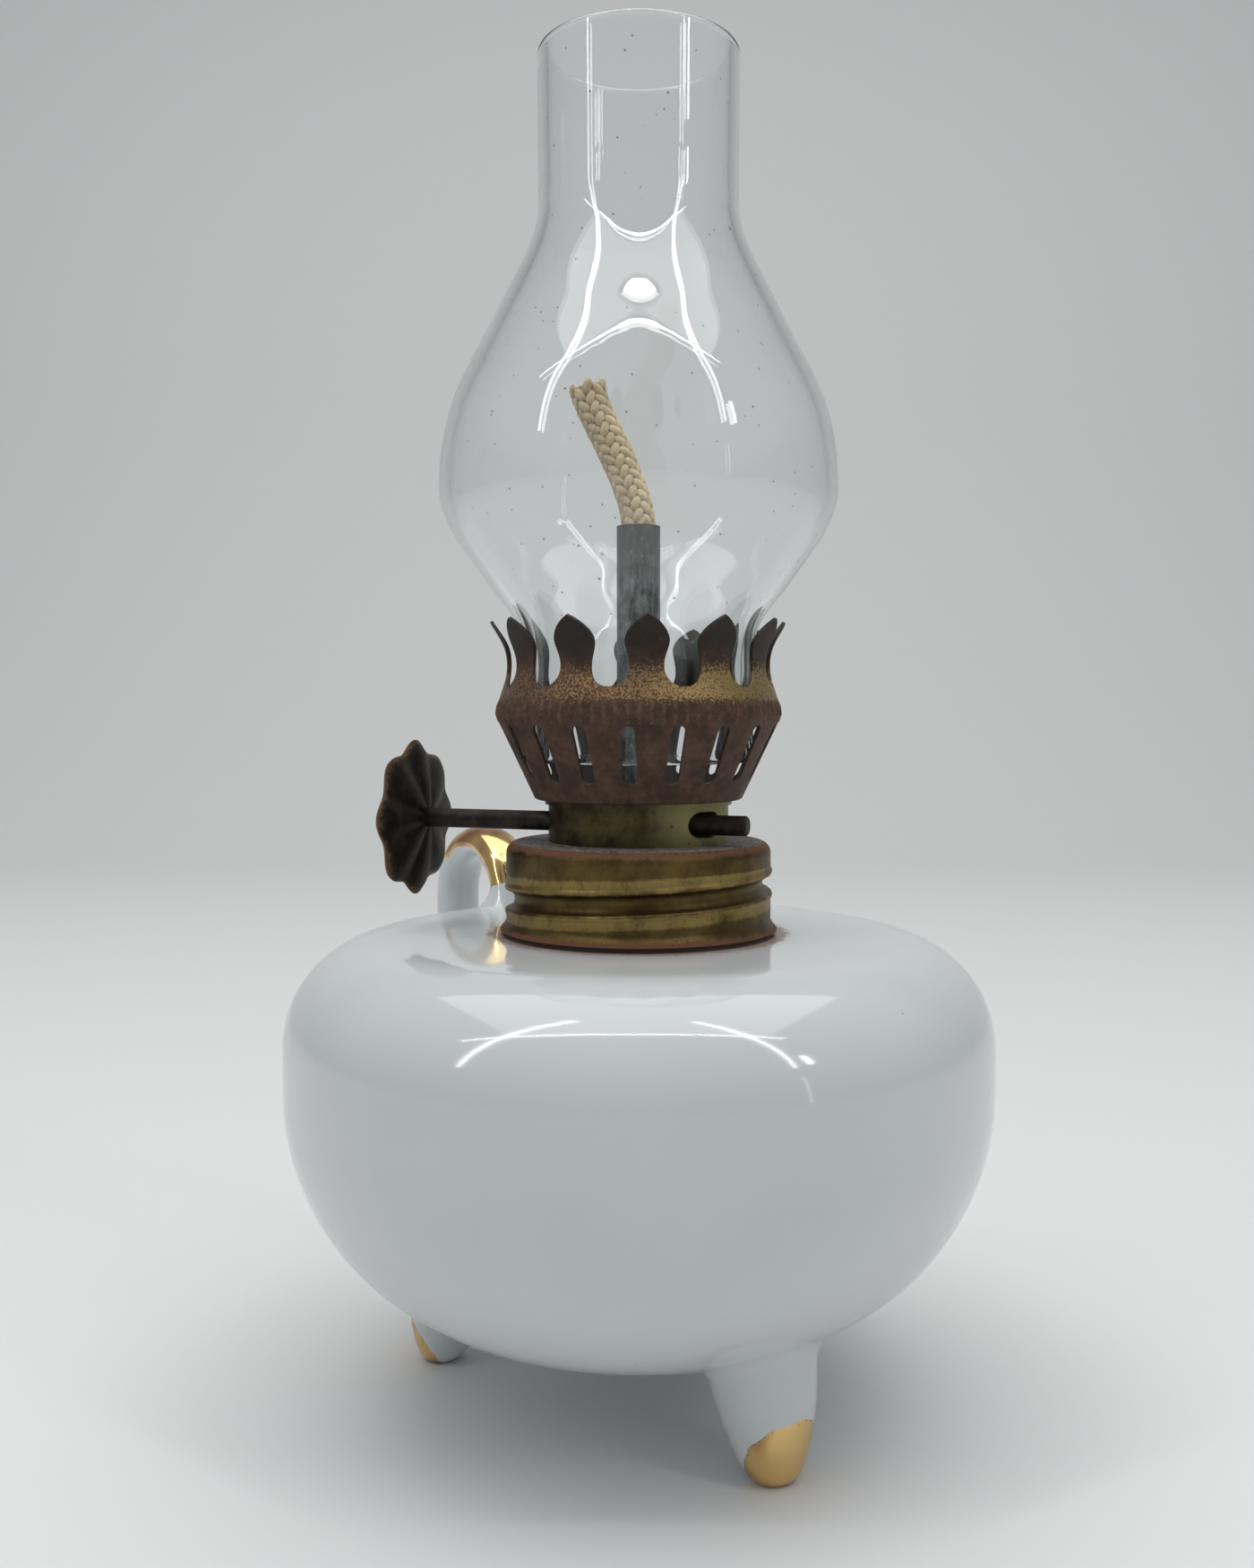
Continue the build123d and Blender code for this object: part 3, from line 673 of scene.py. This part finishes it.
# %% A node tree that repeats a piece round the axis
class Recipe:
    """A Geometry Nodes tree with named inputs, and short ways to add its nodes."""

    def __init__(self, name, inputs):
        self.tree = bpy.data.node_groups.new(name, "GeometryNodeTree")
        new_socket = self.tree.interface.new_socket
        for socket, kind in {"Geometry": "Geometry", **inputs}.items():
            new_socket(socket, in_out="INPUT", socket_type="NodeSocket" + kind)
        new_socket("Geometry", in_out="OUTPUT", socket_type="NodeSocketGeometry")
        self.link = self.tree.links.new
        self.given = self.tree.nodes.new("NodeGroupInput").outputs

    def new(self, kind, values=None, **settings):
        """Add a node, and set or link its inputs."""
        made = self.tree.nodes.new(kind)
        for name, value in settings.items():
            setattr(made, name, value)
        for socket, value in (values or {}).items():
            if isinstance(value, bpy.types.NodeSocket):
                self.link(value, made.inputs[socket])
            else:
                made.inputs[socket].default_value = value
        return made

    def maths(self, operation, *values):
        return self.new("ShaderNodeMath", dict(enumerate(values)), operation=operation).outputs[0]

    def result(self, geometry):
        """Paint the geometry with the tree's own material, and give it out."""
        values = {"Geometry": geometry, "Material": self.given["Finish"]}
        paint = self.new("GeometryNodeSetMaterial", values)
        self.link(paint.outputs[0], self.tree.nodes.new("NodeGroupOutput").inputs[0])
        return self.tree


def ring_tree():
    ring = Recipe("repeat_round_axis", {"Count": "Int", "Weld": "Float", "Finish": "Material"})
    count = ring.given["Count"]
    line = ring.new("GeometryNodeMeshLine", {"Count": count, "Offset": (0, 0, 0)})
    index = ring.new("GeometryNodeInputIndex").outputs[0]
    turn = ring.maths("MULTIPLY", ring.maths("DIVIDE", 2 * pi, count), index)
    spin = ring.new("ShaderNodeCombineXYZ", {"Z": turn}).outputs[0]
    values = {"Points": line.outputs[0], "Instance": ring.given["Geometry"], "Rotation": spin}
    laid = ring.new("GeometryNodeInstanceOnPoints", values)
    real = ring.new("GeometryNodeRealizeInstances", {0: laid.outputs[0]})
    values = {"Geometry": real.outputs[0], "Distance": ring.given["Weld"]}
    return ring.result(ring.new("GeometryNodeMergeByDistance", values).outputs[0])


def run_tree(piece, tree, values):
    """Put a node tree on a piece, with its inputs by name, and return the mesh that it makes."""
    made = piece.modifiers.new("nodes", "NODES")
    made.node_group = tree
    for item in tree.interface.items_tree:
        if item.item_type == "SOCKET" and item.in_out == "INPUT" and item.name in values:
            made[item.identifier] = values[item.name]
    return evaluated(piece)


def evaluated(piece):
    """A piece's mesh with every modifier applied."""
    bpy.context.view_layer.update()
    seen = piece.evaluated_get(bpy.context.evaluated_depsgraph_get())
    return bpy.data.meshes.new_from_object(seen)


def flatten(piece, mesh):
    """Swap in a mesh that was made, and drop the modifiers."""
    piece.modifiers.clear()
    piece.data = mesh
    return piece


def repeat(piece, count, weld_m):
    """Repeat a piece round the lamp's axis, with its seams welded."""
    values = {"Count": count, "Weld": weld_m, "Finish": SCORCHED}
    return flatten(piece, run_tree(piece, RING, values))


def give_wall(piece, thickness_mm, offset):
    """Thicken a sheet: inwards where offset is -1, and outwards where it is 1."""
    wall = piece.modifiers.new("wall", "SOLIDIFY")
    wall.thickness, wall.offset = thickness_mm * MM, offset
    flatten(piece, evaluated(piece))


RING = ring_tree()

# %% [markdown]
# A bay is one of eighteen shares of twenty degrees. Its slot is a hole with round ends:
# rings of points run from the hole out to the bay's edge, so the metal stays evenly meshed.

# %% One slotted bay
LIP_R, LIP_Z, SHOULDER_R, SHOULDER_Z = 11.0, 63.65, 14.7, 71.5
SLOTS, SLOT_AT, SLOT_W, SLOT_H, SLOT_Z = 18, -127.5, 1.45, 5.8, 68.2
FLAT_STEP = 2.5


def cone_radius(z):
    return LIP_R + (z - LIP_Z) * (SHOULDER_R - LIP_R) / (SHOULDER_Z - LIP_Z)


def on_cone(degrees, z):
    a, r = radians(degrees), cone_radius(z)
    return (r * cos(a), r * sin(a), z)


def slot_bay():
    half, low, high = 180 / SLOTS, 64.4, 71.4
    steps = int(2 * half / FLAT_STEP)
    edge = [(-half + k * FLAT_STEP, high) for k in range(steps)]
    edge += [(half, high + (low - high) * k / steps) for k in range(steps)]
    edge += [(half - k * FLAT_STEP, low) for k in range(steps)]
    edge += [(-half, low + (high - low) * k / steps) for k in range(steps)]
    hole, round_end = [], SLOT_W / 2
    straight = SLOT_H / 2 - round_end
    for k in range(4 * steps):
        side, t = k // steps, (k % steps) / steps
        turn, way = pi * (1 - t), 1 if side < 2 else -1
        if side % 2:
            x, z = round_end, straight * (1 - 2 * t)
        else:
            x, z = round_end * cos(turn), straight + round_end * sin(turn)
        x, z = x * way, z * way
        hole.append((np.degrees(x / cone_radius(SLOT_Z + z)), SLOT_Z + z))
    points = []
    for t in (0, 0.12, 0.4, 0.7, 1):
        points += [on_cone(h[0] + (e[0] - h[0]) * t, h[1] + (e[1] - h[1]) * t) for h, e in zip(hole, edge)]
    faces = ring_faces(5, 4 * steps)
    lip = [(cone_radius(64.4), 64.4), (cone_radius(64.0), 64.0), (LIP_R, LIP_Z), (10.9, 63.42)]
    lip += [(10.65, 63.3), (9.87, 63.3)]
    first = len(points)
    for r, z in lip:
        turns = np.radians(-half + FLAT_STEP * np.arange(steps + 1))
        points += [(r * cos(a), r * sin(a), z) for a in turns]
    faces += ring_faces(len(lip), steps + 1, closed=False, first=first)
    turned = [Matrix.Rotation(radians(SLOT_AT), 3, "Z") @ Vector(p) for p in points]
    return mesh_piece("slotted_bay", turned, faces)


bays = repeat(slot_bay(), SLOTS, 2e-5)
print("bays:", len(bays.data.polygons), "faces")

# %% [markdown]
# A prong stands on a share of thirty degrees. Its sides follow a rule: a round valley, a
# narrow waist, a wide head and an ogive tip. Its face leans in at the waist and out at the tip.

# %% One prong
PRONGS, PRONG_AT, TIP_Z, HEAD_Z, VALLEY_Z, VALLEY_R = 12, -120.0, 81.75, 79.2, 74.9, 1.8
LEAN = [(71.4, cone_radius(71.4)), (71.9, 14.85), (72.5, 14.88), (73.4, 14.68), (74.5, 14.3)]
LEAN += [(76.0, 13.82), (77.4, 13.7), (78.6, 13.85), (79.6, 14.25), (80.8, 14.95), (81.8, 15.6)]


def prong_radius(z):
    heights, radii = np.array(LEAN).T
    smooth = [np.interp(z + d, heights, radii) for d in (-0.5, -0.25, 0, 0.25, 0.5)]
    return sum(smooth) / 5 if z > 72.2 else np.interp(z, heights, radii)


def prong_half(z):
    """Half the prong's width, measured round the gallery, in millimetres."""
    share = radians(180 / PRONGS) * prong_radius(z)
    if z <= VALLEY_Z:
        return share
    climb = min(z - VALLEY_Z, VALLEY_R)
    gap = sqrt(VALLEY_R**2 - (VALLEY_R - climb) ** 2)
    head = np.clip((z - 77.0) / 2.2, 0, 1)
    waist = share - gap - 0.12
    waist += 0.42 * head * head * (3 - 2 * head)
    if z > HEAD_Z:
        t = (z - HEAD_Z) / (TIP_Z - HEAD_Z)
        waist *= max(1 - t**1.75, 0.0)
    return min(waist, share)


def prong():
    heights = [71.4, 71.7, 72.0, 72.4, 72.8, 73.3, 73.8, 74.4, VALLEY_Z]
    heights += [VALLEY_Z + VALLEY_R * (1 - cos(t)) for t in np.radians(np.linspace(12, 90, 9))]
    heights += list(np.linspace(77.0, HEAD_Z, 10))
    heights += [HEAD_Z + (TIP_Z - HEAD_Z) * sin(t) for t in np.linspace(0.1, pi / 2, 14)]
    across = int(360 / PRONGS / FLAT_STEP) + 1
    points = []
    for z in heights:
        r, half = prong_radius(z), prong_half(z)
        for c in np.linspace(-1, 1, across):
            a = radians(PRONG_AT) + c * half / r
            points.append((r * cos(a), r * sin(a), z))
    return mesh_piece("prong_share", points, ring_faces(len(heights), across, closed=False))


prongs = repeat(prong(), PRONGS, 2e-5)
print("prongs:", len(prongs.data.polygons), "faces")


# %% Join, weld and store the wear masks
def join(name, *pieces):
    """One object from several plain meshes."""
    work = bmesh.new()
    for piece in pieces:
        work.from_mesh(piece.data)
        bpy.data.objects.remove(piece)
    mesh = bpy.data.meshes.new(name)
    work.to_mesh(mesh)
    work.free()
    made = bpy.data.objects.new(name, mesh)
    bpy.context.collection.objects.link(made)
    return made


def weld(piece, distance_mm):
    work = bmesh.new()
    work.from_mesh(piece.data)
    bmesh.ops.remove_doubles(work, verts=work.verts, dist=distance_mm * MM)
    work.to_mesh(piece.data)
    work.free()


def face_away(piece):
    """Turn the faces so that they look away from the lamp's axis."""
    work = bmesh.new()
    work.from_mesh(piece.data)
    bmesh.ops.recalc_face_normals(work, faces=work.faces)
    total = sum(f.normal.xy.dot(f.calc_center_median().xy) for f in work.faces)
    if total < 0:
        bmesh.ops.reverse_faces(work, faces=work.faces)
    work.to_mesh(piece.data)
    work.free()


def store(piece, mask, rule):
    values = [rule(v.co.x / MM, v.co.y / MM, v.co.z / MM) for v in piece.data.vertices]
    layer = piece.data.attributes.get(mask) or piece.data.attributes.new(mask, "FLOAT", "POINT")
    layer.data.foreach_set("value", values)


gallery = join("pronged_gallery", bays, prongs)
weld(gallery, 0.02)
face_away(gallery)
give_wall(gallery, 0.35, -1)
finish_mesh(gallery, SCORCHED, 40)
# The mask of the painted highlight: 1 on the gallery's side towards the front right of the view.
store(gallery, "painted_highlight_side", lambda x, y, z: max(0.0, (x * 0.25 - y * 0.97) / 15) ** 2)


def wall_radius(z):
    return cone_radius(z) if z < 71.4 else prong_radius(z)


# The mask of the painted shade on the gallery's inner face.
store(gallery, "inside", lambda x, y, z: float(sqrt(x * x + y * y) < wall_radius(z) - 0.2))
keep(gallery, "burner", "brass", "gallery")

# %% [markdown]
# The shoulder is milled with eighty fine upright ribs. Each is a tiny ridge with tapered ends,
# and the same tree carries them round.


# %% Ribs round the shoulder
RIBS = 80


def rib():
    points = []
    for z, proud in ((71.15, 0.0), (71.5, 0.10), (72.2, 0.15), (73.0, 0.14), (73.5, 0.06), (73.8, 0.0)):
        for c in (-1, -0.55, 0, 0.55, 1):
            r = prong_radius(max(z, 71.4)) if z > 71.4 else cone_radius(z)
            r += proud * (1 - c * c) - 0.03
            a = radians(SLOT_AT) + c * 0.24 / r
            points.append((r * cos(a), r * sin(a), z))
    return mesh_piece("shoulder_ribs", points, ring_faces(6, 5, closed=False))


ribs = repeat(rib(), RIBS, 1e-6)
face_away(ribs)
ribs.data.polygons.foreach_set("use_smooth", [True] * len(ribs.data.polygons))
store(ribs, "rib", lambda x, y, z: 1.0)
keep(ribs, "burner", "brass")

# %% [markdown]
# ## The knob
# A disc pressed into eight petals, dished, with its rim curled away from the lamp. The whole
# shape follows one rule in polar form, so it is a grid on the shaft's own axes.

# %% Press the knob
knob_low, knob_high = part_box("knob")
shaft = next(j for j in frame["joints"] if j["name"] == "knob_turn")
AXIS = Vector(shaft["axis"]).normalized()
ON_AXIS = Vector(shaft["pos_m"]) / MM
KNOB_AT = 23.0


def on_shaft(along, out, turn):
    """A point at a distance along the shaft's axis, out from it, at a turn round it."""
    side = Vector((-AXIS.y, AXIS.x, 0))
    spoke = side * cos(turn) + Vector((0, 0, 1)) * sin(turn)
    return ON_AXIS + AXIS * along + spoke * out


def knob():
    radii = [1.02, 1.5, 2.0, 2.6] + list(np.linspace(3.2, 7.2, 12)) + [7.5, 7.75, 7.95, 8.1]
    around, points, rim = 192, [], []
    for out in radii:
        share = out / 8.1
        for turn in np.arange(around) * 2 * pi / around:
            lobe = cos(8 * turn)
            reach = out + share**3 * (0.5 * lobe - 0.45)
            dish = 1.35 * share**2 + 0.30 * max(0.0, share - 0.9) / 0.1
            petal = 0.34 * sin(pi * min(share, 1) ** 1.5) * (0.5 - 0.5 * lobe) ** 1.5
            points.append(on_shaft(KNOB_AT + dish + petal * 0.9 - 0.02, reach, turn))
            rim.append(max(0.0, (share - 0.8) / 0.2))
    return mesh_piece("petal_knob", points, ring_faces(len(radii), around), {"rim": rim})


petals = knob()
finish_mesh(petals, DARK_WIRE, 50)
give_wall(petals, 0.4, 1)
finish_mesh(petals, DARK_WIRE, 50)
keep(petals, "raiser", "wire", "knob")
made = np.ptp([v.co for v in petals.data.vertices], axis=0) / MM
print("knob in the frame:", [round(v / MM, 2) for v in knob_high - knob_low], "here:", made.round(2))

# %% [markdown]
# ## The wick
# A soft cotton cord with a herringbone braid. It stands straight in the tube and leans over
# where it burns. A core is swept along its line, and Geometry Nodes lay one plump stitch after
# another round it, each leaning the other way from its neighbour.

# %% The wick's line
TUBE_TOP, WICK_LOW, WICK_R, LEAN_AT = 91.8, 27.0, 1.75, 147.0
LEAN_LINE = [(0, 0), (0.12, 1.2), (1.0, 4.1), (2.6, 7.9), (4.1, 10.9), (5.05, 13.2), (5.35, 14.3)]


def curve_piece(name, points_mm):
    """A smooth curve through points."""
    data = bpy.data.curves.new(name, "CURVE")
    data.dimensions = "3D"
    data.resolution_u = 8
    spline = data.splines.new("BEZIER")
    spline.bezier_points.add(len(points_mm) - 1)
    for handle_point, p in zip(spline.bezier_points, points_mm):
        handle_point.co = Vector(p) * MM
        handle_point.handle_left_type = handle_point.handle_right_type = "AUTO"
    piece = bpy.data.objects.new(name, data)
    bpy.context.collection.objects.link(piece)
    return piece


# %% A node tree that braids a cord
def braid_tree():
    sockets = {"Stitch": "Object", "Radius": "Float", "Rows": "Int", "Columns": "Int"}
    braid = Recipe("braided_cord", {**sockets, "Tip Swell": "Float", "Finish": "Material"})
    given, new, maths, link = braid.given, braid.new, braid.maths, braid.link
    rows, columns = given["Rows"], given["Columns"]
    count = maths("MULTIPLY", rows, columns)
    line = new("GeometryNodeMeshLine", {"Count": count, "Offset": (0, 0, 0)})
    index = new("GeometryNodeInputIndex").outputs[0]
    row = maths("FLOOR", maths("DIVIDE", index, columns))
    column = maths("SUBTRACT", index, maths("MULTIPLY", row, columns))
    odd = maths("MODULO", column, 2.0)
    share = maths("DIVIDE", maths("ADD", row, maths("MULTIPLY_ADD", odd, 0.5, 0.25)), rows)
    values = {"Curves": given["Geometry"], "Factor": share}
    sample = new("GeometryNodeSampleCurve", values, mode="FACTOR").outputs
    turn = maths("MULTIPLY", maths("DIVIDE", column, columns), 2 * pi)
    swell = maths("MULTIPLY_ADD", maths("POWER", share, 9.0), given["Tip Swell"], 1.0)
    radius = maths("MULTIPLY", given["Radius"], swell)
    spin = new("FunctionNodeAxisAngleToRotation", {"Axis": sample["Tangent"], "Angle": turn})
    values = {"Vector": sample["Normal"], "Rotation": spin.outputs[0]}
    spoke = new("FunctionNodeRotateVector", values).outputs[0]
    out = new("ShaderNodeVectorMath", {0: spoke, "Scale": radius}, operation="SCALE").outputs[0]
    values = {0: sample["Position"], 1: out}
    place = new("ShaderNodeVectorMath", values, operation="ADD").outputs[0]
    moved = new("GeometryNodeSetPosition", {"Geometry": line.outputs[0], "Position": place})
    upright = new("FunctionNodeAlignRotationToVector", {"Vector": spoke}, axis="X")
    values = {"Rotation": upright.outputs[0], "Vector": sample["Tangent"]}
    along = new("FunctionNodeAlignRotationToVector", values, axis="Z", pivot_axis="X")
    lean = maths("MULTIPLY", maths("MULTIPLY_ADD", odd, -2.0, 1.0), radians(34))
    tilt = new("FunctionNodeAxisAngleToRotation", {"Axis": (1, 0, 0), "Angle": lean})
    values = {0: along.outputs[0], 1: tilt.outputs[0]}
    both = new("FunctionNodeRotateRotation", values, rotation_space="LOCAL")
    grain = new("GeometryNodeObjectInfo", {"Object": given["Stitch"]}, transform_space="ORIGINAL")
    values = {"Points": moved.outputs[0], "Rotation": both.outputs[0]}
    laid = new("GeometryNodeInstanceOnPoints", {**values, "Instance": grain.outputs["Geometry"]})
    core_radius = maths("MULTIPLY", given["Radius"], 0.93)
    ring = new("GeometryNodeCurvePrimitiveCircle", {"Resolution": 20, "Radius": core_radius})
    values = {"Curve": given["Geometry"], "Profile Curve": ring.outputs[0], "Fill Caps": True}
    core = new("GeometryNodeCurveToMesh", values)
    real = new("GeometryNodeRealizeInstances", {0: laid.outputs[0]})
    whole = new("GeometryNodeJoinGeometry")
    link(core.outputs[0], whole.inputs[0])
    link(real.outputs[0], whole.inputs[0])
    return braid.result(whole.outputs[0])


def stitch(long_mm, wide_mm, proud_mm):
    """A plump stitch, pointed at both ends, lying along Z."""
    points = []
    for t in np.linspace(-1, 1, 7):
        full = sqrt(max(1 - abs(t) ** 2.2, 0.0)) + 0.05
        for u in np.arange(6) * pi / 3:
            points.append((proud_mm * full * cos(u), wide_mm / 2 * full * sin(u), long_mm / 2 * t))
    faces = ring_faces(7, 6) + [tuple(range(6))[::-1], tuple(36 + k for k in range(6))]
    piece = mesh_piece("wick_stitch", points, faces)
    piece.data.polygons.foreach_set("use_smooth", [True] * len(piece.data.polygons))
    return piece


# %% Braid both lengths
BRAID = braid_tree()
STITCH = stitch(1.75, 1.0, 0.36)
LIT_ROWS, HIDDEN_ROWS, COLUMNS = 13, 58, 10


def cord(name, points_mm, rows, swell, radius):
    """A braided length along points, as a plain mesh."""
    piece = curve_piece(name, points_mm)
    values = {"Stitch": STITCH, "Radius": radius * MM, "Rows": rows, "Columns": COLUMNS}
    mesh = run_tree(piece, BRAID, {**values, "Tip Swell": swell, "Finish": COTTON})
    bpy.data.objects.remove(piece)
    braided = bpy.data.objects.new(name, mesh)
    bpy.context.collection.objects.link(braided)
    mesh.polygons.foreach_set("use_smooth", [True] * len(mesh.polygons))
    return braided


lean = radians(LEAN_AT)
leaning = [(out * cos(lean), out * sin(lean), TUBE_TOP + up) for out, up in LEAN_LINE]
lit_end = cord("wick_lit_end", leaning, LIT_ROWS, 0.15, WICK_R - 0.27)
store(lit_end, "charred", lambda x, y, z: max(0.0, (z - 103.0) / 3.4))
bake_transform(lit_end)
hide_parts("wick_top")
upright = [(0, 0, z) for z in np.linspace(WICK_LOW + 0.9, TUBE_TOP + 0.6, 6)]
hidden = cord("wick_in_tube", upright, HIDDEN_ROWS, 0.0, WICK_R - 0.35)
store(hidden, "charred", lambda x, y, z: 0.0)
keep(hidden, "wick_cord", "cotton", "wick")
bpy.data.objects.remove(STITCH)
print("wick stitches:", (LIT_ROWS + HIDDEN_ROWS) * COLUMNS)

# %% [markdown]
# ## The chimney
# Blown from thin tube: a straight foot, a bulb that gives the flame air, and a straight
# mouth. Both walls are turned, and both rims are rounded in the fire.

# %% Blow the chimney
GLASS_WALL, CHIMNEY_LOW, CHIMNEY_TOP = 1.1, 67.2, 140.0
BULB = [(12.0, 67.2), (12.0, 72.0), (12.0, 76.0), (12.05, 78.5), (12.7, 81.6), (15.9, 86.0), (19.8, 91.9)]
BULB += [(20.6, 96.6), (19.3, 103.9), (15.35, 112.0), (11.9, 118.8), (10.55, 122.6), (10.32, 126.0)]
BULB += [(10.35, 132.0), (10.4, 140.0)]


def smooth_line(points, steps):
    """A Catmull-Rom curve through points."""
    p = np.array([points[0]] + points + [points[-1]], float)
    line = []
    for k in range(1, len(p) - 2):
        for t in np.linspace(0, 1, steps, endpoint=False):
            a, b, c, d = p[k - 1], p[k], p[k + 1], p[k + 2]
            bend = 2 * b + (c - a) * t + (2 * a - 5 * b + 4 * c - d) * t**2
            line.append((bend + (3 * b - a - 3 * c + d) * t**3) / 2)
    return np.array(line + [p[-2]])


outer = smooth_line(BULB, 8)
slope = np.gradient(outer, axis=0)
slope /= np.linalg.norm(slope, axis=1)[:, None]
inner_line = outer + np.stack([-slope[:, 1], slope[:, 0]], 1) * GLASS_WALL
rim = GLASS_WALL / 2
outer, inner_line = outer[1:-1], inner_line[1:-1]
glass_line = arc((12.0 - rim, CHIMNEY_LOW + rim), rim, -180, 0, 10)
glass_line += [tuple(p) for p in outer if CHIMNEY_LOW + rim < p[1] < CHIMNEY_TOP - rim]
glass_line += arc((10.4 - rim, CHIMNEY_TOP - rim), rim, 0, 180, 10)
glass_line += [tuple(p) for p in inner_line[::-1] if CHIMNEY_LOW + rim < p[1] < CHIMNEY_TOP - rim]
glass_line += [glass_line[0]]
chimney = lathe("glass_chimney", glass_line, 160, GLASS, sharp=60)
keep(chimney, "chimney", "glass", "chimney")

# %% [markdown]
# ## Finishes for the engineering pieces
# The pieces whose turned or bent shapes are already right only need their finish.

# %% Paint the frame's own nodes
NODE_FINISH = (
    (CORK, ("cap_washer",)),
    (CUP_BRASS, ("burner_cup", "air_plate", "wheel_bracket")),
    (TINNED, ("wick_tube",)),
    (DARK_WIRE, ("raiser_shaft", "raiser_wheel", "shaft_collars", "knob_rivet")),
)
for material, node_names in NODE_FINISH:
    for node_name in node_names:
        mesh = frame["nodes"][node_name].data
        mesh.materials.clear()
        mesh.materials.append(material)

# %% [markdown]
# ## Stage, light and camera
# A plain pale floor that curves up behind, soft light from the room, and tall window lights
# that put the bright strips in the glaze and the glass.

# %% Floor and backdrop
floor_line = ramp((-900, 0), (520, 0), 4)
floor_line += [(520 + 260 * sin(t), 260 - 260 * cos(t)) for t in np.linspace(0.1, pi / 2, 14)]
floor_line += [(780, 900)]
VIEW = radians(-33)
AHEAD, RIGHT = Vector((-sin(VIEW), cos(VIEW), 0)), Vector((cos(VIEW), sin(VIEW), 0))
stage_points = [AHEAD * y + RIGHT * x + Vector((0, 0, z)) for y, z in floor_line for x in (-900, 900)]
stage = mesh_piece("stage_floor", stage_points, ring_faces(len(floor_line), 2, closed=False))
stage.data.polygons.foreach_set("use_smooth", [True] * len(stage.data.polygons))
paper = Finish("pale_paper")
paper.set(Base_Color=(0.80, 0.805, 0.80), Roughness=0.7)
stage.data.materials.append(paper.material)

# %% Camera
DISTANCE, HEIGHT, PITCH_DOWN, FOCUS = 160.0, 73.2, 3.0, 1700.0
camera_data = bpy.data.cameras.new("camera")
camera_data.sensor_fit, camera_data.sensor_height = "VERTICAL", 36.0
camera_data.lens = 36.0 * FOCUS / 1750
camera_data.clip_start = 0.005
camera = bpy.data.objects.new("camera", camera_data)
bpy.context.collection.objects.link(camera)
eye = -AHEAD * DISTANCE - RIGHT * 1.2 + Vector((0, 0, HEIGHT))
down = radians(PITCH_DOWN)
gaze = AHEAD * cos(down) - Vector((0, 0, sin(down)))
camera.matrix_world = Matrix.Translation(eye * MM) @ gaze.to_track_quat("-Z", "Y").to_matrix().to_4x4()
bpy.context.scene.camera = camera


# %% Lights
def light(name, centre, long_way, width, tall, glow, aim=(0, 0, 70)):
    """A rectangular light in millimetres to the right, ahead and up, of even brightness."""
    data = bpy.data.lights.new(name, "AREA")
    data.shape, data.size, data.size_y = "RECTANGLE", tall * MM, width * MM
    data.energy = glow * pi * tall * width * MM * MM
    lamp = bpy.data.objects.new(name, data)
    bpy.context.collection.objects.link(lamp)
    at = RIGHT * centre[0] + AHEAD * centre[1] + Vector((0, 0, centre[2]))
    back = (at - Vector(aim)).normalized()
    along = RIGHT * long_way[0] + AHEAD * long_way[1] + Vector((0, 0, long_way[2]))
    along = (along - back * along.dot(back)).normalized()
    turn = Matrix((along, back.cross(along), back)).transposed().to_4x4()
    lamp.matrix_world = Matrix.Translation(at * MM) @ turn


def strip(name, azimuth, low, high, width, glow, away=620, lean=0):
    """A tall thin window light: its azimuth from the camera and its rise, in degrees."""
    middle, half = radians((low + high) / 2), radians((high - low) / 2)
    a = radians(azimuth)
    centre = (away * cos(middle) * sin(a), -away * cos(middle) * cos(a), 90 + away * sin(middle))
    way = (-sin(middle) * sin(a) + lean, sin(middle) * cos(a), cos(middle))
    light(name, centre, way, width, 2 * away * sin(half), glow)


light("ceiling", (0, 60, 760), (1, 0, 0), 640, 900, 1.65)
light("ceiling_tube", (-60, -262, 760), (1, 0, 0), 9, 1250, 26)
strip("left_window", -60, 16, 80, 20, 13, lean=-0.12)
strip("right_window", 52, 20, 80, 18, 12, lean=0.1)
strip("door_gap", 50, -7, 16, 5, 6)
strip("low_window", 56, 23, 31, 20, 16, away=560)
world = bpy.data.worlds.new("room")
world.use_nodes = True
world.node_tree.nodes["Background"].inputs[0].default_value = (0.80, 0.83, 0.85, 1)
world.node_tree.nodes["Background"].inputs[1].default_value = 0.36
bpy.context.scene.world = world
bpy.context.scene.view_settings.view_transform = "Standard"
